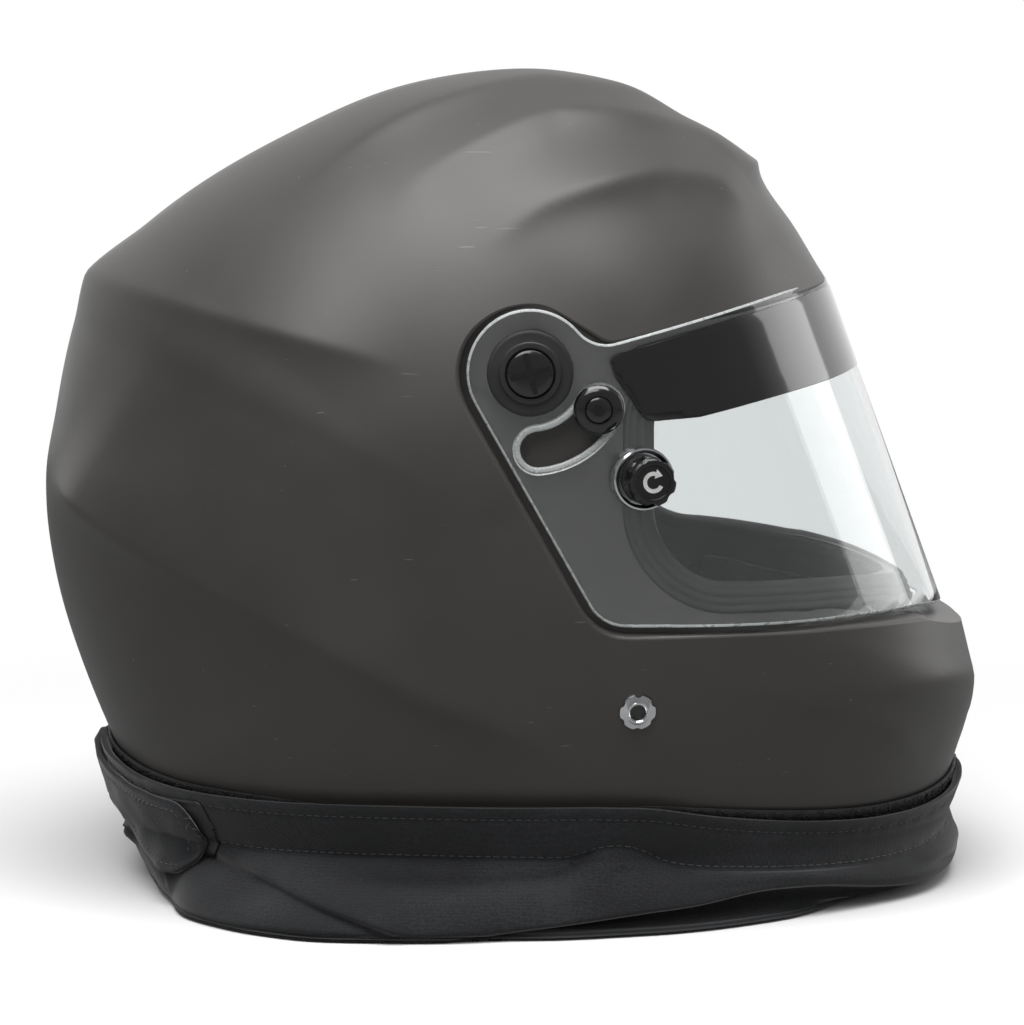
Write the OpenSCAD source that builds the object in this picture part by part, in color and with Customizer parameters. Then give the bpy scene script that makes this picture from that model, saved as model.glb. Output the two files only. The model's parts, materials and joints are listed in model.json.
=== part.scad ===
/* [Shell] */
// Length of the shell from the chin to the back
shell_length = 341.3; // [334:0.1:350]
// Width of the shell across the ears
shell_width = 252; // [248:0.5:258]
// Height of the crown above the rim
shell_height = 266.5; // [260:0.5:275]
// Thickness of the laminate
shell_wall = 4; // [3:0.1:4.6]
// Height of the rim above the surface that the helmet stands on
rim_z = 24; // [22:0.5:28]
// Height of the long ridges over the crown
ridge_height = 2.4; // [0:0.1:3]
// Height of the soft creases along the sides
crease_height = 3; // [0:0.1:4]

/* [Visor] */
// How far the visor's outer face lies inside the widest part of the shell
visor_inset = 8; // [7.4:0.1:8.6]
// Distance from the pivot to the front of the visor, square to its slope
visor_reach = 111.4; // [110.5:0.1:113]
// Thickness of the visor
visor_wall = 3; // [2.4:0.1:3.2]
// Slope of the visor from the vertical
visor_slope = 20.3; // [19:0.1:21.5]
// Height of the visor's bottom edge under the pivot
visor_drop = 84.2; // [83:0.1:86]
// Radius of the round ear about the pivot
ear_r = 21; // [20:0.1:22]
// Radius of the visor's lower rear corner
visor_corner_r = 14; // [10:0.5:16]
// Gap between the visor and the floor of its recess
visor_gap = 1.4; // [1.2:0.1:2]
// Clearance round the edge of the visor
recess_margin = 2.4; // [1.6:0.1:3]
// Thickness of the dark strip over the top of the visor
strip_wall = 0.4; // [0.2:0.1:0.8]

/* [Eyeport] */
// Distance from the pivot to the rear edge of the eyeport
port_rear = 39; // [38:0.5:41]
// Depth of the eyeport's lower edge under the pivot
port_drop = 72; // [70:0.5:73]
// Radius of the eyeport's lower corners
port_corner_r = 28; // [22:1:30]
// Width of the seal's flange round the eyeport
seal_width = 8.3; // [7:0.1:8.8]
// Thickness of the seal's flange
seal_wall = 2.6; // [2.2:0.1:2.8]

/* [Visor pivot] */
// Distance of the pivot in front of the middle of the shell
pivot_x = 6; // [5:0.5:7]
// Height of the pivot above the rim
pivot_up = 164.3; // [163:0.1:166]
// Radius of the bush that the visor turns on
bush_r = 7; // [6:0.1:8]
// Running clearance round the bush
bush_clear = 0.05; // [0.03:0.01:0.1]
// Radius of the matt washer over the pivot
washer_r = 14; // [12.5:0.1:15]
// Radius of the slotted pivot screw's head
pivot_head_r = 7.7; // [7:0.1:8.4]
// Travel of the visor from shut to open
visor_travel = 55; // [40:1:55]
// Distance from the pivot to the guide screw
guide_arm = 25.4; // [24.6:0.1:26.5]
// Angle of the guide screw below the front of the pivot
guide_angle = 28; // [26:0.5:32]
// Radius of the sleeve that runs in the visor's curved slot
guide_r = 5.6; // [5:0.1:6]
// Clearance of the sleeve in the slot
slot_clear = 0.35; // [0.2:0.05:0.6]

/* [Tear-off posts] */
// Distance of the post in front of the pivot
post_ahead = 36.1; // [35:0.1:38]
// Depth of the post under the pivot
post_drop = 34.5; // [33:0.1:37]
// Lean of the post towards the front
post_lean = 13; // [8:1:16]
// Radius of the bright cup
cup_r = 10.4; // [9.6:0.1:11]
// Radius of the turning knob
knob_r = 8; // [7:0.1:8.2]
// Height of the knob above the visor
knob_top = 17; // [15:0.5:19]
// Radius of the spindle that the knob turns on
spindle_r = 3.5; // [3:0.1:4]
// Running clearance of the knob on its spindle
knob_clear = 0.05; // [0.03:0.01:0.1]

/* [Strap anchors] */
// Distance of the anchor in front of the middle of the shell
anchor_x = 41.4; // [40:0.1:43]
// Height of the anchor above the rim
anchor_up = 52.4; // [50:0.1:55]
// Radius of the star-shaped terminal
terminal_r = 6.3; // [5.8:0.1:7]
// Drilled radius of the terminal's M6 thread
thread_r = 2.5; // [2.4:0.05:2.6]
// Width of the strap webbing
strap_width = 25; // [22:0.5:26]
// Thickness of the strap webbing
strap_wall = 1.8; // [1.4:0.1:2.2]

/* [Linings] */
// Thickness of the foam liner at the crown
foam_wall = 31; // [28:0.5:34]
// Thickness of the comfort liner
comfort_wall = 7; // [5:0.5:9]
// Thickness of the foam at the sides and the nape
foam_side = 12; // [10:0.5:14]
// Clearance between one lining and the next
lining_gap = 0.3; // [0.2:0.05:0.6]

/* [Skirt] */
// Height of the skirt's band
band_height = 22; // [18:0.5:26]
// Thickness of the skirt's band
band_wall = 2.4; // [1.8:0.1:3]
// Thickness of the hook tape on the shell
tape_wall = 1.6; // [1.2:0.1:2]
// Height of the bare tape that shows over the band
tape_show = 3; // [1:0.5:5]
// How far the bunched cloth spreads outside the rim
cloth_spread = 11; // [8:0.5:13]
// Depth of the folds in the bunched cloth
fold_depth = 3.2; // [0:0.1:4]

/* [Hidden] */

// A face to face seat needs no gap, any other seat has this one
seat = 0.3;
far = 400;
eps = 0.01;

// The side view's datum: the middle of the shell, at the height of the widest point
mid_x = -5;
mid_up = 116;
mid_z = rim_z + mid_up;
half_w = shell_width / 2;

// The silhouette drawn about that datum
silhouette = [[115, -162], [152, -132], [166, -112], [171.9, -95], [175.6, -78], [174.8, -68],
    [171.6, -57], [168.2, -43], [157, -5], [138, 38], [115, 78.5], [102.5, 98.8],
    [91, 114.6], [78, 126], [51, 140.5], [22.6, 148.6], [3, 150.5], [-32.4, 146.6],
    [-79.5, 128], [-126.3, 97.4], [-147.8, 78.2], [-154, 61.3], [-161.4, 30],
    [-165.7, 7], [-163.5, -28], [-153.8, -65.8], [-142.2, -95.6], [-132, -120],
    [-95, -157], [0, -186]];
stretch_x = shell_length / (max([for (p = silhouette) p[0]]) - min([for (p = silhouette) p[0]]));
stretch_z = (shell_height - mid_up) / max([for (p = silhouette) p[1]]);
outline = [for (p = silhouette) [p[0] * stretch_x, p[1] * stretch_z]];

// The same silhouette in polar form, smoothed by a cubic through its points
function turn_of(p, from) = let (a = atan2(p[1], p[0])) a < from ? a + 360 : a;
start_turn = atan2(outline[0][1], outline[0][0]);
polar = [for (p = outline) [turn_of(p, start_turn - eps), norm(p)]];
count = len(polar);
function polar_at(i) = let (k = (i + count) % count)
    [polar[k][0] + (i < 0 ? -360 : i >= count ? 360 : 0), polar[k][1]];
function slope_at(i) = let (a = polar_at(i - 1), b = polar_at(i + 1)) (b[1] - a[1]) / (b[0] - a[0]);
function hermite(i, a) = let (p = polar_at(i), q = polar_at(i + 1), w = q[0] - p[0], t = (a - p[0]) / w,
    m = slope_at(i) * w, n = slope_at(i + 1) * w)
    (2 * t ^ 3 - 3 * t ^ 2 + 1) * p[1] + (t ^ 3 - 2 * t ^ 2 + t) * m
    + (3 * t ^ 2 - 2 * t ^ 3) * q[1] + (t ^ 3 - t ^ 2) * n;
smooth_steps = 4;
radius_table = [for (i = [0:count - 1]) for (j = [0:smooth_steps - 1])
    let (p = polar_at(i), q = polar_at(i + 1), a = p[0] + (q[0] - p[0]) * j / smooth_steps)
    [a, hermite(i, a)], polar_at(count)];
function profile_r(a) = lookup(a < start_turn ? a + 360 : a > start_turn + 360 ? a - 360 : a,
    radius_table);

// The section from side to side is a flattened oval of this power
oval = 2.2;
function skin_y(x, z, inset = 0) = let (dx = x - mid_x, dz = z - mid_z,
    k = norm([dx, dz]) / (profile_r(atan2(dz, dx)) - inset))
    k >= 1 ? 0 : (half_w - inset) * (1 - k ^ oval) ^ (1 / oval);

// Lines drawn on the shell in side view, about the datum, from the back to the front
ridge_top = [[-74, 100], [-53, 119], [-25, 133], [8, 141], [27, 140], [50, 136], [66, 129]];
ridge_mid = [[-40, 100], [-19, 115], [12, 129], [27, 131], [60, 127], [77, 118], [96, 99]];
ridge_low = [[-8, 86], [15, 102], [48, 111], [62, 111], [76, 108], [97, 94]];
crease_back = [[-151.5, 80], [-119, 72], [-72, 60], [-45, 54], [-23, 49]];
crease_side = [[-159, 9.5], [-130, -7], [-82, -29], [-25, -56], [8, -71], [41, -91]];
crease_chin = [[74, -57], [101, -57], [138, -60], [163, -62], [176, -69]];
crease_jaw = [[84, -58.5], [101.6, -62], [120, -67.5], [138, -78], [152, -91]];
function on_shell(line) = [for (p = line) [p[0] * stretch_x, p[1] * stretch_z]];

// Distance to a line, the side it is on, and how far along the line
function to_segment(p, a, b) = let (v = b - a, t = max(0, min(1, ((p - a) * v) / (v * v))),
    d = p - a - t * v) [norm(d), v[0] * d[1] > v[1] * d[0] ? 1 : -1, t];
function to_line(p, line) = let (all = [for (i = [0:len(line) - 2])
    let (s = to_segment(p, line[i], line[i + 1])) [s[0], s[1], (i + s[2]) / (len(line) - 1)]],
    least = min([for (s = all) s[0]])) [for (s = all) if (s[0] == least) s][0];
function fade(u, head, tail) = min(1, u / head) * min(1, (1 - u) / tail);
ridge_back = 24;
ridge_front = 13;
crease_spread = 26;
function ridge_lift(p, line) = let (s = to_line(p, line))
    fade(s[2], 0.35, 0.3) * ridge_height * exp(-s[0] / (s[1] > 0 ? ridge_back : ridge_front));
function crease_lift(p, line, head, tail) = let (s = to_line(p, line))
    fade(s[2], head, tail) * crease_height * exp(-s[0] / crease_spread);
// The nose over the brow, where the broad middle of the crown ends: it fades towards the sides
lip_turn = 52;
lip_height = 3.9;
lip_half = 46;
lip_back = 14;
lip_front = 3.6;
function lip_lift(a, r, y) = let (s = (a - lip_turn) * r * PI / 180, side = 1 - min(1, (abs(y) / lip_half) ^ 4))
    lip_height * side * exp(-abs(s) / (s >= 0 ? lip_back : lip_front));
// The lines fade out towards the middle, so that they leave the silhouette as it is
middle_fade = 35;
function lift(p, y) = let (r = norm(p), a = atan2(p[1], p[0]))
    min(1, abs(y) / middle_fade) * (ridge_lift(p, on_shell(ridge_top)) + ridge_lift(p, on_shell(ridge_mid))
        + ridge_lift(p, on_shell(ridge_low)) + crease_lift(p, on_shell(crease_back), eps, 0.5)
        + crease_lift(p, on_shell(crease_side), 0.12, 0.4) + 0.5 * crease_lift(p, on_shell(crease_chin), 0.5, eps)
        + 0.3 * crease_lift(p, on_shell(crease_jaw), 0.4, 0.3))
    + (a > 20 && a < 100 ? lip_lift(a, r, y) : 0);

// A grid line moves onto a mark that lies within its reach
function snap(v, marks, reach) = let (close = [for (m = marks) if (abs(m - v) < reach) m])
    len(close) > 0 ? close[0] : v;
corner_turns = [lip_turn, lip_turn - 4.2, 152.2, 338.4];
// Where a line crosses a turn, as the ring's angle between the ear and the middle
function ring_angle(line, a) = let (turns = [for (p = line) turn_of(p, start_turn)],
    table = [for (i = [0:len(line) - 1]) [turns[i], norm(line[i])]],
    rising = turns[0] < turns[len(line) - 1] ? table : [for (i = [len(line) - 1:-1:0]) table[i]])
    a > rising[0][0] && a < rising[len(line) - 1][0]
        ? asin(min(1, lookup(a, rising) / profile_r(a)) ^ (oval / 2)) : -1;
drawn_lines = [ridge_top, ridge_mid, ridge_low, crease_back, crease_side];

// The near half of a skin as rings round the ear, from the ear to the middle
function skin_rings(inset, turns, rings, raised) = let (step = 360 / turns,
    grid = [for (i = [0:turns - 1]) let (a = start_turn + step * i)
        raised ? snap(a, corner_turns, step / 2) : a],
    marks = [for (a = grid) raised ? [for (l = drawn_lines) ring_angle(on_shell(l), a)] : []])
    [for (k = [1:rings]) [for (i = [0:turns - 1])
        let (a = grid[i], f = k == rings ? 90 : snap(90 * k / rings, marks[i], 45 / rings),
            r = profile_r(a) - inset,
            p = [r * sin(f) ^ (2 / oval) * cos(a), r * sin(f) ^ (2 / oval) * sin(a)],
            y = k == rings ? 0 : (half_w - inset) * cos(f) ^ (2 / oval),
            grow = raised ? 1 + lift(p, y) / norm([p[0], y, p[1]]) : 1)
        [mid_x + p[0] * grow, y * grow, mid_z + p[1] * grow]]];

// A closed solid from the rings of one half and their mirror image
module skin(inset, turns, rings, raised = false) {
    half = skin_rings(inset, turns, rings, raised);
    all = concat([for (k = [0:rings - 1]) each [for (p = half[k]) [p[0], -p[1], p[2]]]],
        [for (k = [rings - 2:-1:0]) each half[k]]);
    pole = half_w - inset;
    points = concat([[mid_x, -pole, mid_z]], all, [[mid_x, pole, mid_z]]);
    last = 2 * rings - 2;
    middle = [mid_x, 0, mid_z];
    polyhedron(points, concat(
        [for (i = [0:turns - 1]) [0, 1 + (i + 1) % turns, 1 + i]],
        [for (k = [0:last - 1]) for (i = [0:turns - 1])
            let (a = 1 + k * turns + i, b = 1 + k * turns + (i + 1) % turns, c = a + turns, d = b + turns)
            each norm(points[a] + points[d] - 2 * middle) > norm(points[b] + points[c] - 2 * middle)
                ? [[a, d, c], [a, b, d]] : [[a, b, c], [b, d, c]]],
        [for (i = [0:turns - 1]) [len(points) - 1, 1 + last * turns + i,
            1 + last * turns + (i + 1) % turns]]), convexity = 6);
}

// Shapes cut square to the side view
module side_prism(points) {
    rotate([90, 0, 0]) linear_extrude(far, center = true) polygon(points);
}
// Places its children on the right side, with their z axis pointing out of the helmet
module right_at(x, z) { translate([x, 0, z]) rotate([90, 0, 0]) children(); }
module both_sides() { children(); mirror([0, 1, 0]) children(); }
function arc(c, r, from, to, steps) = [for (i = [0:steps])
    let (a = from + (to - from) * i / steps) [c[0] + r * cos(a), c[1] + r * sin(a)]];

pivot_z = rim_z + pivot_up;
pivot = [pivot_x, pivot_z];
function from_pivot(points) = [for (p = points) [p[0] + pivot_x, p[1] + pivot_z]];

// The bent visor in plan: flat ears, a tight bend, then a wide front
visor_half = half_w - visor_inset;
ear_flat = 14;
bend = 40;
function bend_r(half, reach) = (reach - ear_flat - (1 - sin(bend)) * half / cos(bend))
    / (sin(bend) - (1 - sin(bend)) * (1 - cos(bend)) / cos(bend));
module bent_solid(half, reach, step = 4) {
    r = bend_r(half, reach);
    front_r = (half - r * (1 - cos(bend))) / cos(bend);
    side = concat([[-far, half], [ear_flat, half]], arc([ear_flat, half - r], r, 90 - step, 90 - bend, bend / step - 1),
        arc([reach - front_r, 0], front_r, 90 - bend - step, 0, (90 - bend) / step - 1));
    translate([pivot_x, 0, pivot_z]) rotate([0, -visor_slope, 0]) translate([0, 0, -far / 2])
        linear_extrude(far) polygon(concat([for (p = side) [p[0], -p[1]]],
            [for (i = [len(side) - 2:-1:0]) side[i]]));
}
// How far out the visor's outer face is at a point of the side view given from the pivot
function visor_y(p) = let (s = p[0] * cos(visor_slope) + p[1] * sin(visor_slope), r = bend_r(visor_half, visor_reach))
    s <= ear_flat ? visor_half : visor_half - r + sqrt(r ^ 2 - (s - ear_flat) ^ 2);

recess_half = visor_half - visor_wall - visor_gap;
recess_reach = visor_reach - 9.9;
rebate_half = recess_half - seal_wall;
rebate_reach = recess_reach - seal_wall;
pan_half = rebate_half - shell_wall + 0.4;
pan_reach = rebate_reach - shell_wall + 0.4;

// The visor's outline in side view, from the pivot, grown by a margin
rear_lean = 60.5;
top_rise = 14.8;
top_base = 2.4;
function top_line(x, grow) = top_base + grow / cos(top_rise) + x * tan(top_rise);
function lower_edge(grow) = let (r = visor_corner_r + grow, side = ear_r - visor_corner_r,
    c = [(visor_drop - visor_corner_r - side * cos(rear_lean)) / tan(rear_lean) - side * sin(rear_lean),
        visor_corner_r - visor_drop])
    concat(arc(c, r, 180 + 90 - rear_lean, 270, 8),
        [[112, -visor_drop - grow], [136, -visor_drop - 1 - grow], [148, -visor_drop - 3.6 - grow],
        [170, -visor_drop - 10 - grow]]);
function visor_outline() = let (f = 12, k = tan(top_rise), c = top_base + f / cos(top_rise),
    reach = ear_r + f, x = (-c * k + sqrt((1 + k ^ 2) * reach ^ 2 - c ^ 2)) / (1 + k ^ 2), z = c + k * x,
    a = atan2(z, x))
    concat(lower_edge(0), [[170, 32], [118, top_line(100, 0) + 1.4], [103, top_line(103, 0) - 1]],
        [[93, top_line(93, 0)]], arc([x, z], f, 270 + top_rise, 180 + a, 8),
        arc([0, 0], ear_r, a + 5, 180 + 90 - rear_lean, 14));
function recess_outline(grow) = concat(lower_edge(grow),
    [[210, -visor_drop - 22 - grow], [210, 60 + grow], [112, top_line(112, grow) + 3.6], [56, top_line(56, grow) + 1.6]],
    arc([0, 0], ear_r + grow, 78, 180 + 90 - rear_lean, 12));

// The eyeport's outline in side view, from the pivot, grown by a margin
port_top_r = 15;
function port_outline(grow) = concat(
    arc([port_rear + port_corner_r, port_corner_r - port_drop], port_corner_r + grow, 180, 270, 9),
    [[90, -port_drop - 0.8 - grow], [112, -port_drop - 2.4 - grow], [130, -port_drop - 5.4 - grow],
    [150, -port_drop - 12 - grow], [210, -port_drop - 30 - grow], [210, 30 + grow], [109, 8.7 + grow]],
    arc([port_rear + port_top_r, -3 - port_top_r], port_top_r + grow, 100, 180, 6));

// Everything outside a bent solid, within a side outline
module outside_bend(points, half, reach) {
    difference() {
        side_prism(from_pivot(points));
        bent_solid(half, reach);
    }
}
module cavity(gap) {
    difference() {
        skin(shell_wall + gap, 44, 7);
        outside_bend(recess_outline(shell_wall + recess_margin + gap), pan_half - gap, pan_reach - gap);
    }
}

guide = [pivot_x + guide_arm * cos(guide_angle), pivot_z - guide_arm * sin(guide_angle)];
insert_r = 5;
guide_insert_r = 3.4;
anchor_z = rim_z + anchor_up;
// The anchor stands square to the shell there, to a tenth of a degree
anchor_run = 24;
function tenth_turn(rise) = round(10 * atan(rise / anchor_run)) / 10;
anchor_tilt = tenth_turn(skin_y(anchor_x, anchor_z + anchor_run / 2) - skin_y(anchor_x, anchor_z - anchor_run / 2));
anchor_yaw = tenth_turn(skin_y(anchor_x - anchor_run / 2, anchor_z) - skin_y(anchor_x + anchor_run / 2, anchor_z));
anchor_seat = skin_y(anchor_x, anchor_z) - 1.2;
stem_r = 4;

module outer_shell() {
    color([0.17, 0.17, 0.17]) difference() {
        skin(0, 96, 15, raised = true);
        cavity(0);
        outside_bend(recess_outline(recess_margin), recess_half, recess_reach);
        outside_bend(port_outline(seal_width + seat), rebate_half, rebate_reach);
        side_prism(from_pivot(port_outline(0)));
        translate([-far / 2, -far / 2, rim_z - far]) cube(far);
        both_sides() {
            right_at(pivot_x, pivot_z) cylinder(h = far / 2, r = insert_r);
            right_at(guide[0], guide[1]) cylinder(h = far / 2, r = guide_insert_r);
            right_at(guide[0], guide[1]) cylinder(h = pan_half, r = guide_insert_r + 2 + seat);
            anchor_frame() {
                translate([0, 0, -shell_wall * 3]) cylinder(h = far / 2, r = stem_r);
                cylinder(h = far / 2, r = terminal_r + 0.5);
                translate([0, 0, bracket_at + bracket_boss - 6]) cylinder(h = 6, r = boss_r + 0.5);
            }
        }
    }
}

// The seal round the eyeport: a flange on the rebate and a lip over the shell's edge
lip_wall = 2;
seal_proud = 0.6;
module eyeport_seal() {
    face_half = recess_half + seal_proud;
    face_reach = recess_reach + seal_proud;
    groove = 1;
    color([0.06, 0.06, 0.06]) difference() {
        intersection() {
            bent_solid(face_half, face_reach);
            side_prism(from_pivot(port_outline(seal_width)));
        }
        bent_solid(pan_half - lip_wall, pan_reach - lip_wall);
        side_prism(from_pivot(port_outline(-lip_wall)));
        // The shell's edge, which the seal grips
        difference() {
            bent_solid(rebate_half, rebate_reach);
            side_prism(from_pivot(port_outline(-seat)));
        }
        for (at = [2.6, 5.4]) difference() {
            outside_bend(port_outline(at), face_half - groove, face_reach - groove);
            side_prism(from_pivot(port_outline(at - groove)));
        }
    }
}

// The head's space inside the foam: an oval between the brow and the nape
head_x = -22;
head_z = rim_z + shell_height - shell_wall - foam_wall - 92;
module head_space(shrink) {
    rings = 6;
    turns = 32;
    size = [102 - shrink, 84 - shrink, 92 - shrink];
    points = concat([[head_x, 0, head_z - size[2]]], [for (k = [1:2 * rings - 1]) for (i = [0:turns - 1])
        let (f = 90 * k / rings, a = 360 * i / turns)
        [head_x + size[0] * sin(f) * cos(a), size[1] * sin(f) * sin(a), head_z - size[2] * cos(f)]],
        [[head_x, 0, head_z + size[2]]]);
    last = 2 * rings - 2;
    polyhedron(points, concat([for (i = [0:turns - 1]) [0, 1 + i, 1 + (i + 1) % turns]],
        [for (k = [0:last - 1]) for (i = [0:turns - 1])
            let (a = 1 + k * turns + i, b = 1 + k * turns + (i + 1) % turns)
            each [[a, a + turns, b], [b, a + turns, b + turns]]],
        [for (i = [0:turns - 1]) [len(points) - 1, 1 + last * turns + (i + 1) % turns,
            1 + last * turns + i]]), convexity = 4);
}

// The foam backs the shell from the crown down to the rim, and stops short of the eyeport
foam_low = rim_z + 10;
foam_skirt_top = pivot_z - 96;
module foam_liner() {
    port_edge = pivot_x + port_rear - seal_width - 2;
    color([0.12, 0.12, 0.13]) difference() {
        intersection() {
            cavity(lining_gap);
            side_prism([[-far, foam_low], [72, foam_low], [72, pivot_z - 88], [port_edge + 22, pivot_z - 82],
                [port_edge + 10, pivot_z - 74], [port_edge + 2, pivot_z - 62], [port_edge - 1, pivot_z - 48],
                [port_edge - 3, pivot_z - 20], [28, pivot_z + 2], [58, pivot_z + 14], [far, pivot_z + 26],
                [far, far], [-far, far]]);
        }
        head_space(0);
        difference() {
            translate([head_x - 102, -84, head_z - far]) cube([204, 168, far - 40]);
            translate([-far, -far, foam_skirt_top - far - 0.5]) cube([2 * far, 2 * far, far]);
        }
        difference() {
            cavity(foam_side);
            side_prism([[-far, foam_skirt_top], [-60, foam_skirt_top], [-30, pivot_z - 40], [22, pivot_z - 34],
                [far, pivot_z - 34], [far, far], [-far, far]]);
        }
        both_sides() {
            right_at(pivot_x, pivot_z) cylinder(h = far / 2, r = 9);
            right_at(guide[0], guide[1]) cylinder(h = far / 2, r = 7);
            translate([anchor_x - strap_width / 2 - 7, -half_w, rim_z]) cube([strap_width + 14, half_w - pad_face,
                anchor_up + 16]);
        }
    }
}

// A quilted cap between the foam and the head
module crown_liner() {
    color([0.23, 0.23, 0.25]) intersection() {
        difference() {
            head_space(lining_gap);
            head_space(comfort_wall);
        }
        side_prism([[-far, head_z - 10], [-60, head_z - 10], [20, head_z + 24], [60, head_z + 34],
            [far, head_z + 60], [far, far], [-far, far]]);
    }
}

module chin_bar_liner() {
    color([0.3, 0.28, 0.28]) difference() {
        intersection() {
            cavity(lining_gap);
            side_prism([[74, foam_low], [far, foam_low], [far, pivot_z - 106], [148, pivot_z - 101],
                [112, pivot_z - 87], [74, pivot_z - 83]]);
        }
        skin(shell_wall + 20, 44, 6);
    }
}

// A cushion between two walls: each outline ring is drawn in towards the edge
module cushion(points, outer, inner, crown) {
    n = len(points);
    c = [for (p = points) 1] * points / n;
    shares = [0.5, 0.85, 0.97];
    function outline_at(share, side) = [for (p = points) let (q = c + (p - c) * share, a = outer(q), b = inner(q),
        m = (a + b) / 2, puff = (1 - share ^ 6) ^ 0.5)
        [q[0], -(side > 0 ? m + (a - m) * puff : m + (b - m) * puff - crown * (1 - share ^ 2)), q[1]]];
    middle = [for (p = points) [p[0], -(outer(p) + inner(p)) / 2, p[1]]];
    rings = [for (s = shares) outline_at(s, 1), middle,
        for (i = [len(shares) - 1:-1:0]) outline_at(shares[i], -1)];
    last = len(rings) - 1;
    all = concat([[c[0], -outer(c), c[1]]], [for (r = rings) each r], [[c[0], -(inner(c) - crown), c[1]]]);
    polyhedron(all, concat([for (i = [0:n - 1]) [0, 1 + (i + 1) % n, 1 + i]],
        [for (k = [0:last - 1]) for (i = [0:n - 1]) let (a = 1 + k * n + i, b = 1 + k * n + (i + 1) % n)
            each [[a, b, a + n], [b, b + n, a + n]]],
        [for (i = [0:n - 1]) [len(all) - 1, 1 + last * n + i, 1 + last * n + (i + 1) % n]]), convexity = 4);
}
pad_face = 74;
pad_crown = 4;
pad_seat = 1.5;
pad_lean = 88;
pad_back = function(p) let (skin_in = skin_y(p[0], p[1], shell_wall + foam_side) - pad_seat,
    under = max(0, pivot_z - visor_drop - 6 - foam_side - p[1], rim_z + pad_lean - 1.7 * foam_side - p[0] - p[1]))
    min(skin_in, pan_half - foam_side - pad_seat + 0.8 * under);
pad_points = [[-34, 34], [-16, 24], [20, 20], [54, 22], [66, 34], [69, 52], [67, 66], [58, 78],
    [44, 86], [36, 100], [22, 114], [-6, 120], [-30, 112], [-44, 88], [-45, 58]];
module cheek_pad() {
    difference() {
        cushion([for (p = pad_points) [p[0], p[1] + rim_z]], pad_back, function(p) pad_face, pad_crown);
        translate([anchor_x - strap_width / 2 - 7, -half_w, rim_z]) cube([strap_width + 14, 32, anchor_up + 16]);
    }
}
module cheek_pad_right() { color([0.2, 0.2, 0.22]) cheek_pad(); }
module cheek_pad_left() { color([0.2, 0.2, 0.22]) mirror([0, 1, 0]) cheek_pad(); }

// Distance from the helmet's upright axis to the shell, in a direction and at a height
axis_x = -2;
function search(b, z, inset, low, high, steps) = steps == 0 ? (low + high) / 2
    : let (m = (low + high) / 2, is_out = abs(m * sin(b)) >= skin_y(axis_x + m * cos(b), z, inset))
    is_out ? search(b, z, inset, low, m, steps - 1) : search(b, z, inset, m, high, steps - 1);
function wall_reach(b, z) = search(b, z, shell_wall, 40, 220, 14);
function skin_reach(b, z) = let (r = search(b, z, 0, 40, 220, 14), x = axis_x + r * cos(b))
    r + lift([x - mid_x, z - mid_z], r * sin(b));

// A band that follows the shell: at each direction a closed section of [offset, height]
module hoop(section, steps, from = 0, to = 360, reach = function(b, z) skin_reach(b, z)) {
    closed = to - from == 360;
    stations = [for (i = [0:steps - (closed ? 1 : 0)]) from + (to - from) * i / steps];
    n = len(section(from));
    points = [for (b = stations) each [for (p = section(b)) let (r = reach(b, max(p[1], rim_z)) + p[0])
        [axis_x + r * cos(b), r * sin(b), p[1]]]];
    m = len(stations);
    polyhedron(points, concat(
        [for (i = [0:(closed ? m - 1 : m - 2)]) for (k = [0:n - 1])
            let (a = i * n + k, b = i * n + (k + 1) % n, c = (i + 1) % m * n + k, d = (i + 1) % m * n + (k + 1) % n)
            each [[a, c, b], [b, c, d]]],
        closed ? [] : [[for (k = [0:n - 1]) k], [for (k = [n - 1:-1:0]) (m - 1) * n + k]]), convexity = 8);
}

trim_wall = 1.8;
trim_gap = 0.5;
module rim_trim() {
    out = trim_gap;
    function in(b, up) = wall_reach(b, rim_z + up) - skin_reach(b, rim_z + up) - 2.6 - max(0, cos(b)) * 0.9;
    color([0.05, 0.05, 0.05]) hoop(function(b) [[out, rim_z - seat], [out, rim_z + 6], [out + trim_wall, rim_z + 5],
        [out + trim_wall, rim_z - trim_wall], [in(b, 0) - trim_wall, rim_z - trim_wall],
        [in(b, 7) - trim_wall, rim_z + 7], [in(b, 8), rim_z + 8], [in(b, 0), rim_z - seat]], 72);
}

roll_from = 122;
roll_low = 18;
roll_high = 44;
module neck_roll() {
    back = -2.2;
    function thick(b) = 5 + 14.5 * (1 - (abs(b - 180) / (180 - roll_from)) ^ 4);
    color([0.2, 0.2, 0.22]) hoop(function(b) let (t = thick(b)) [[back, rim_z + roll_high], [back, rim_z + roll_low],
        [back - 0.3 * t, rim_z + roll_low - 7], [back - 0.75 * t, rim_z + roll_low - 5],
        [back - t, rim_z + roll_low + 6], [back - t, rim_z + roll_high - 4],
        [back - 0.7 * t, rim_z + roll_high + 6], [back - 0.25 * t, rim_z + roll_high + 8]],
        26, roll_from, 360 - roll_from, function(b, z) search(b, z, shell_wall + foam_side, 40, 220, 14));
}

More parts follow.
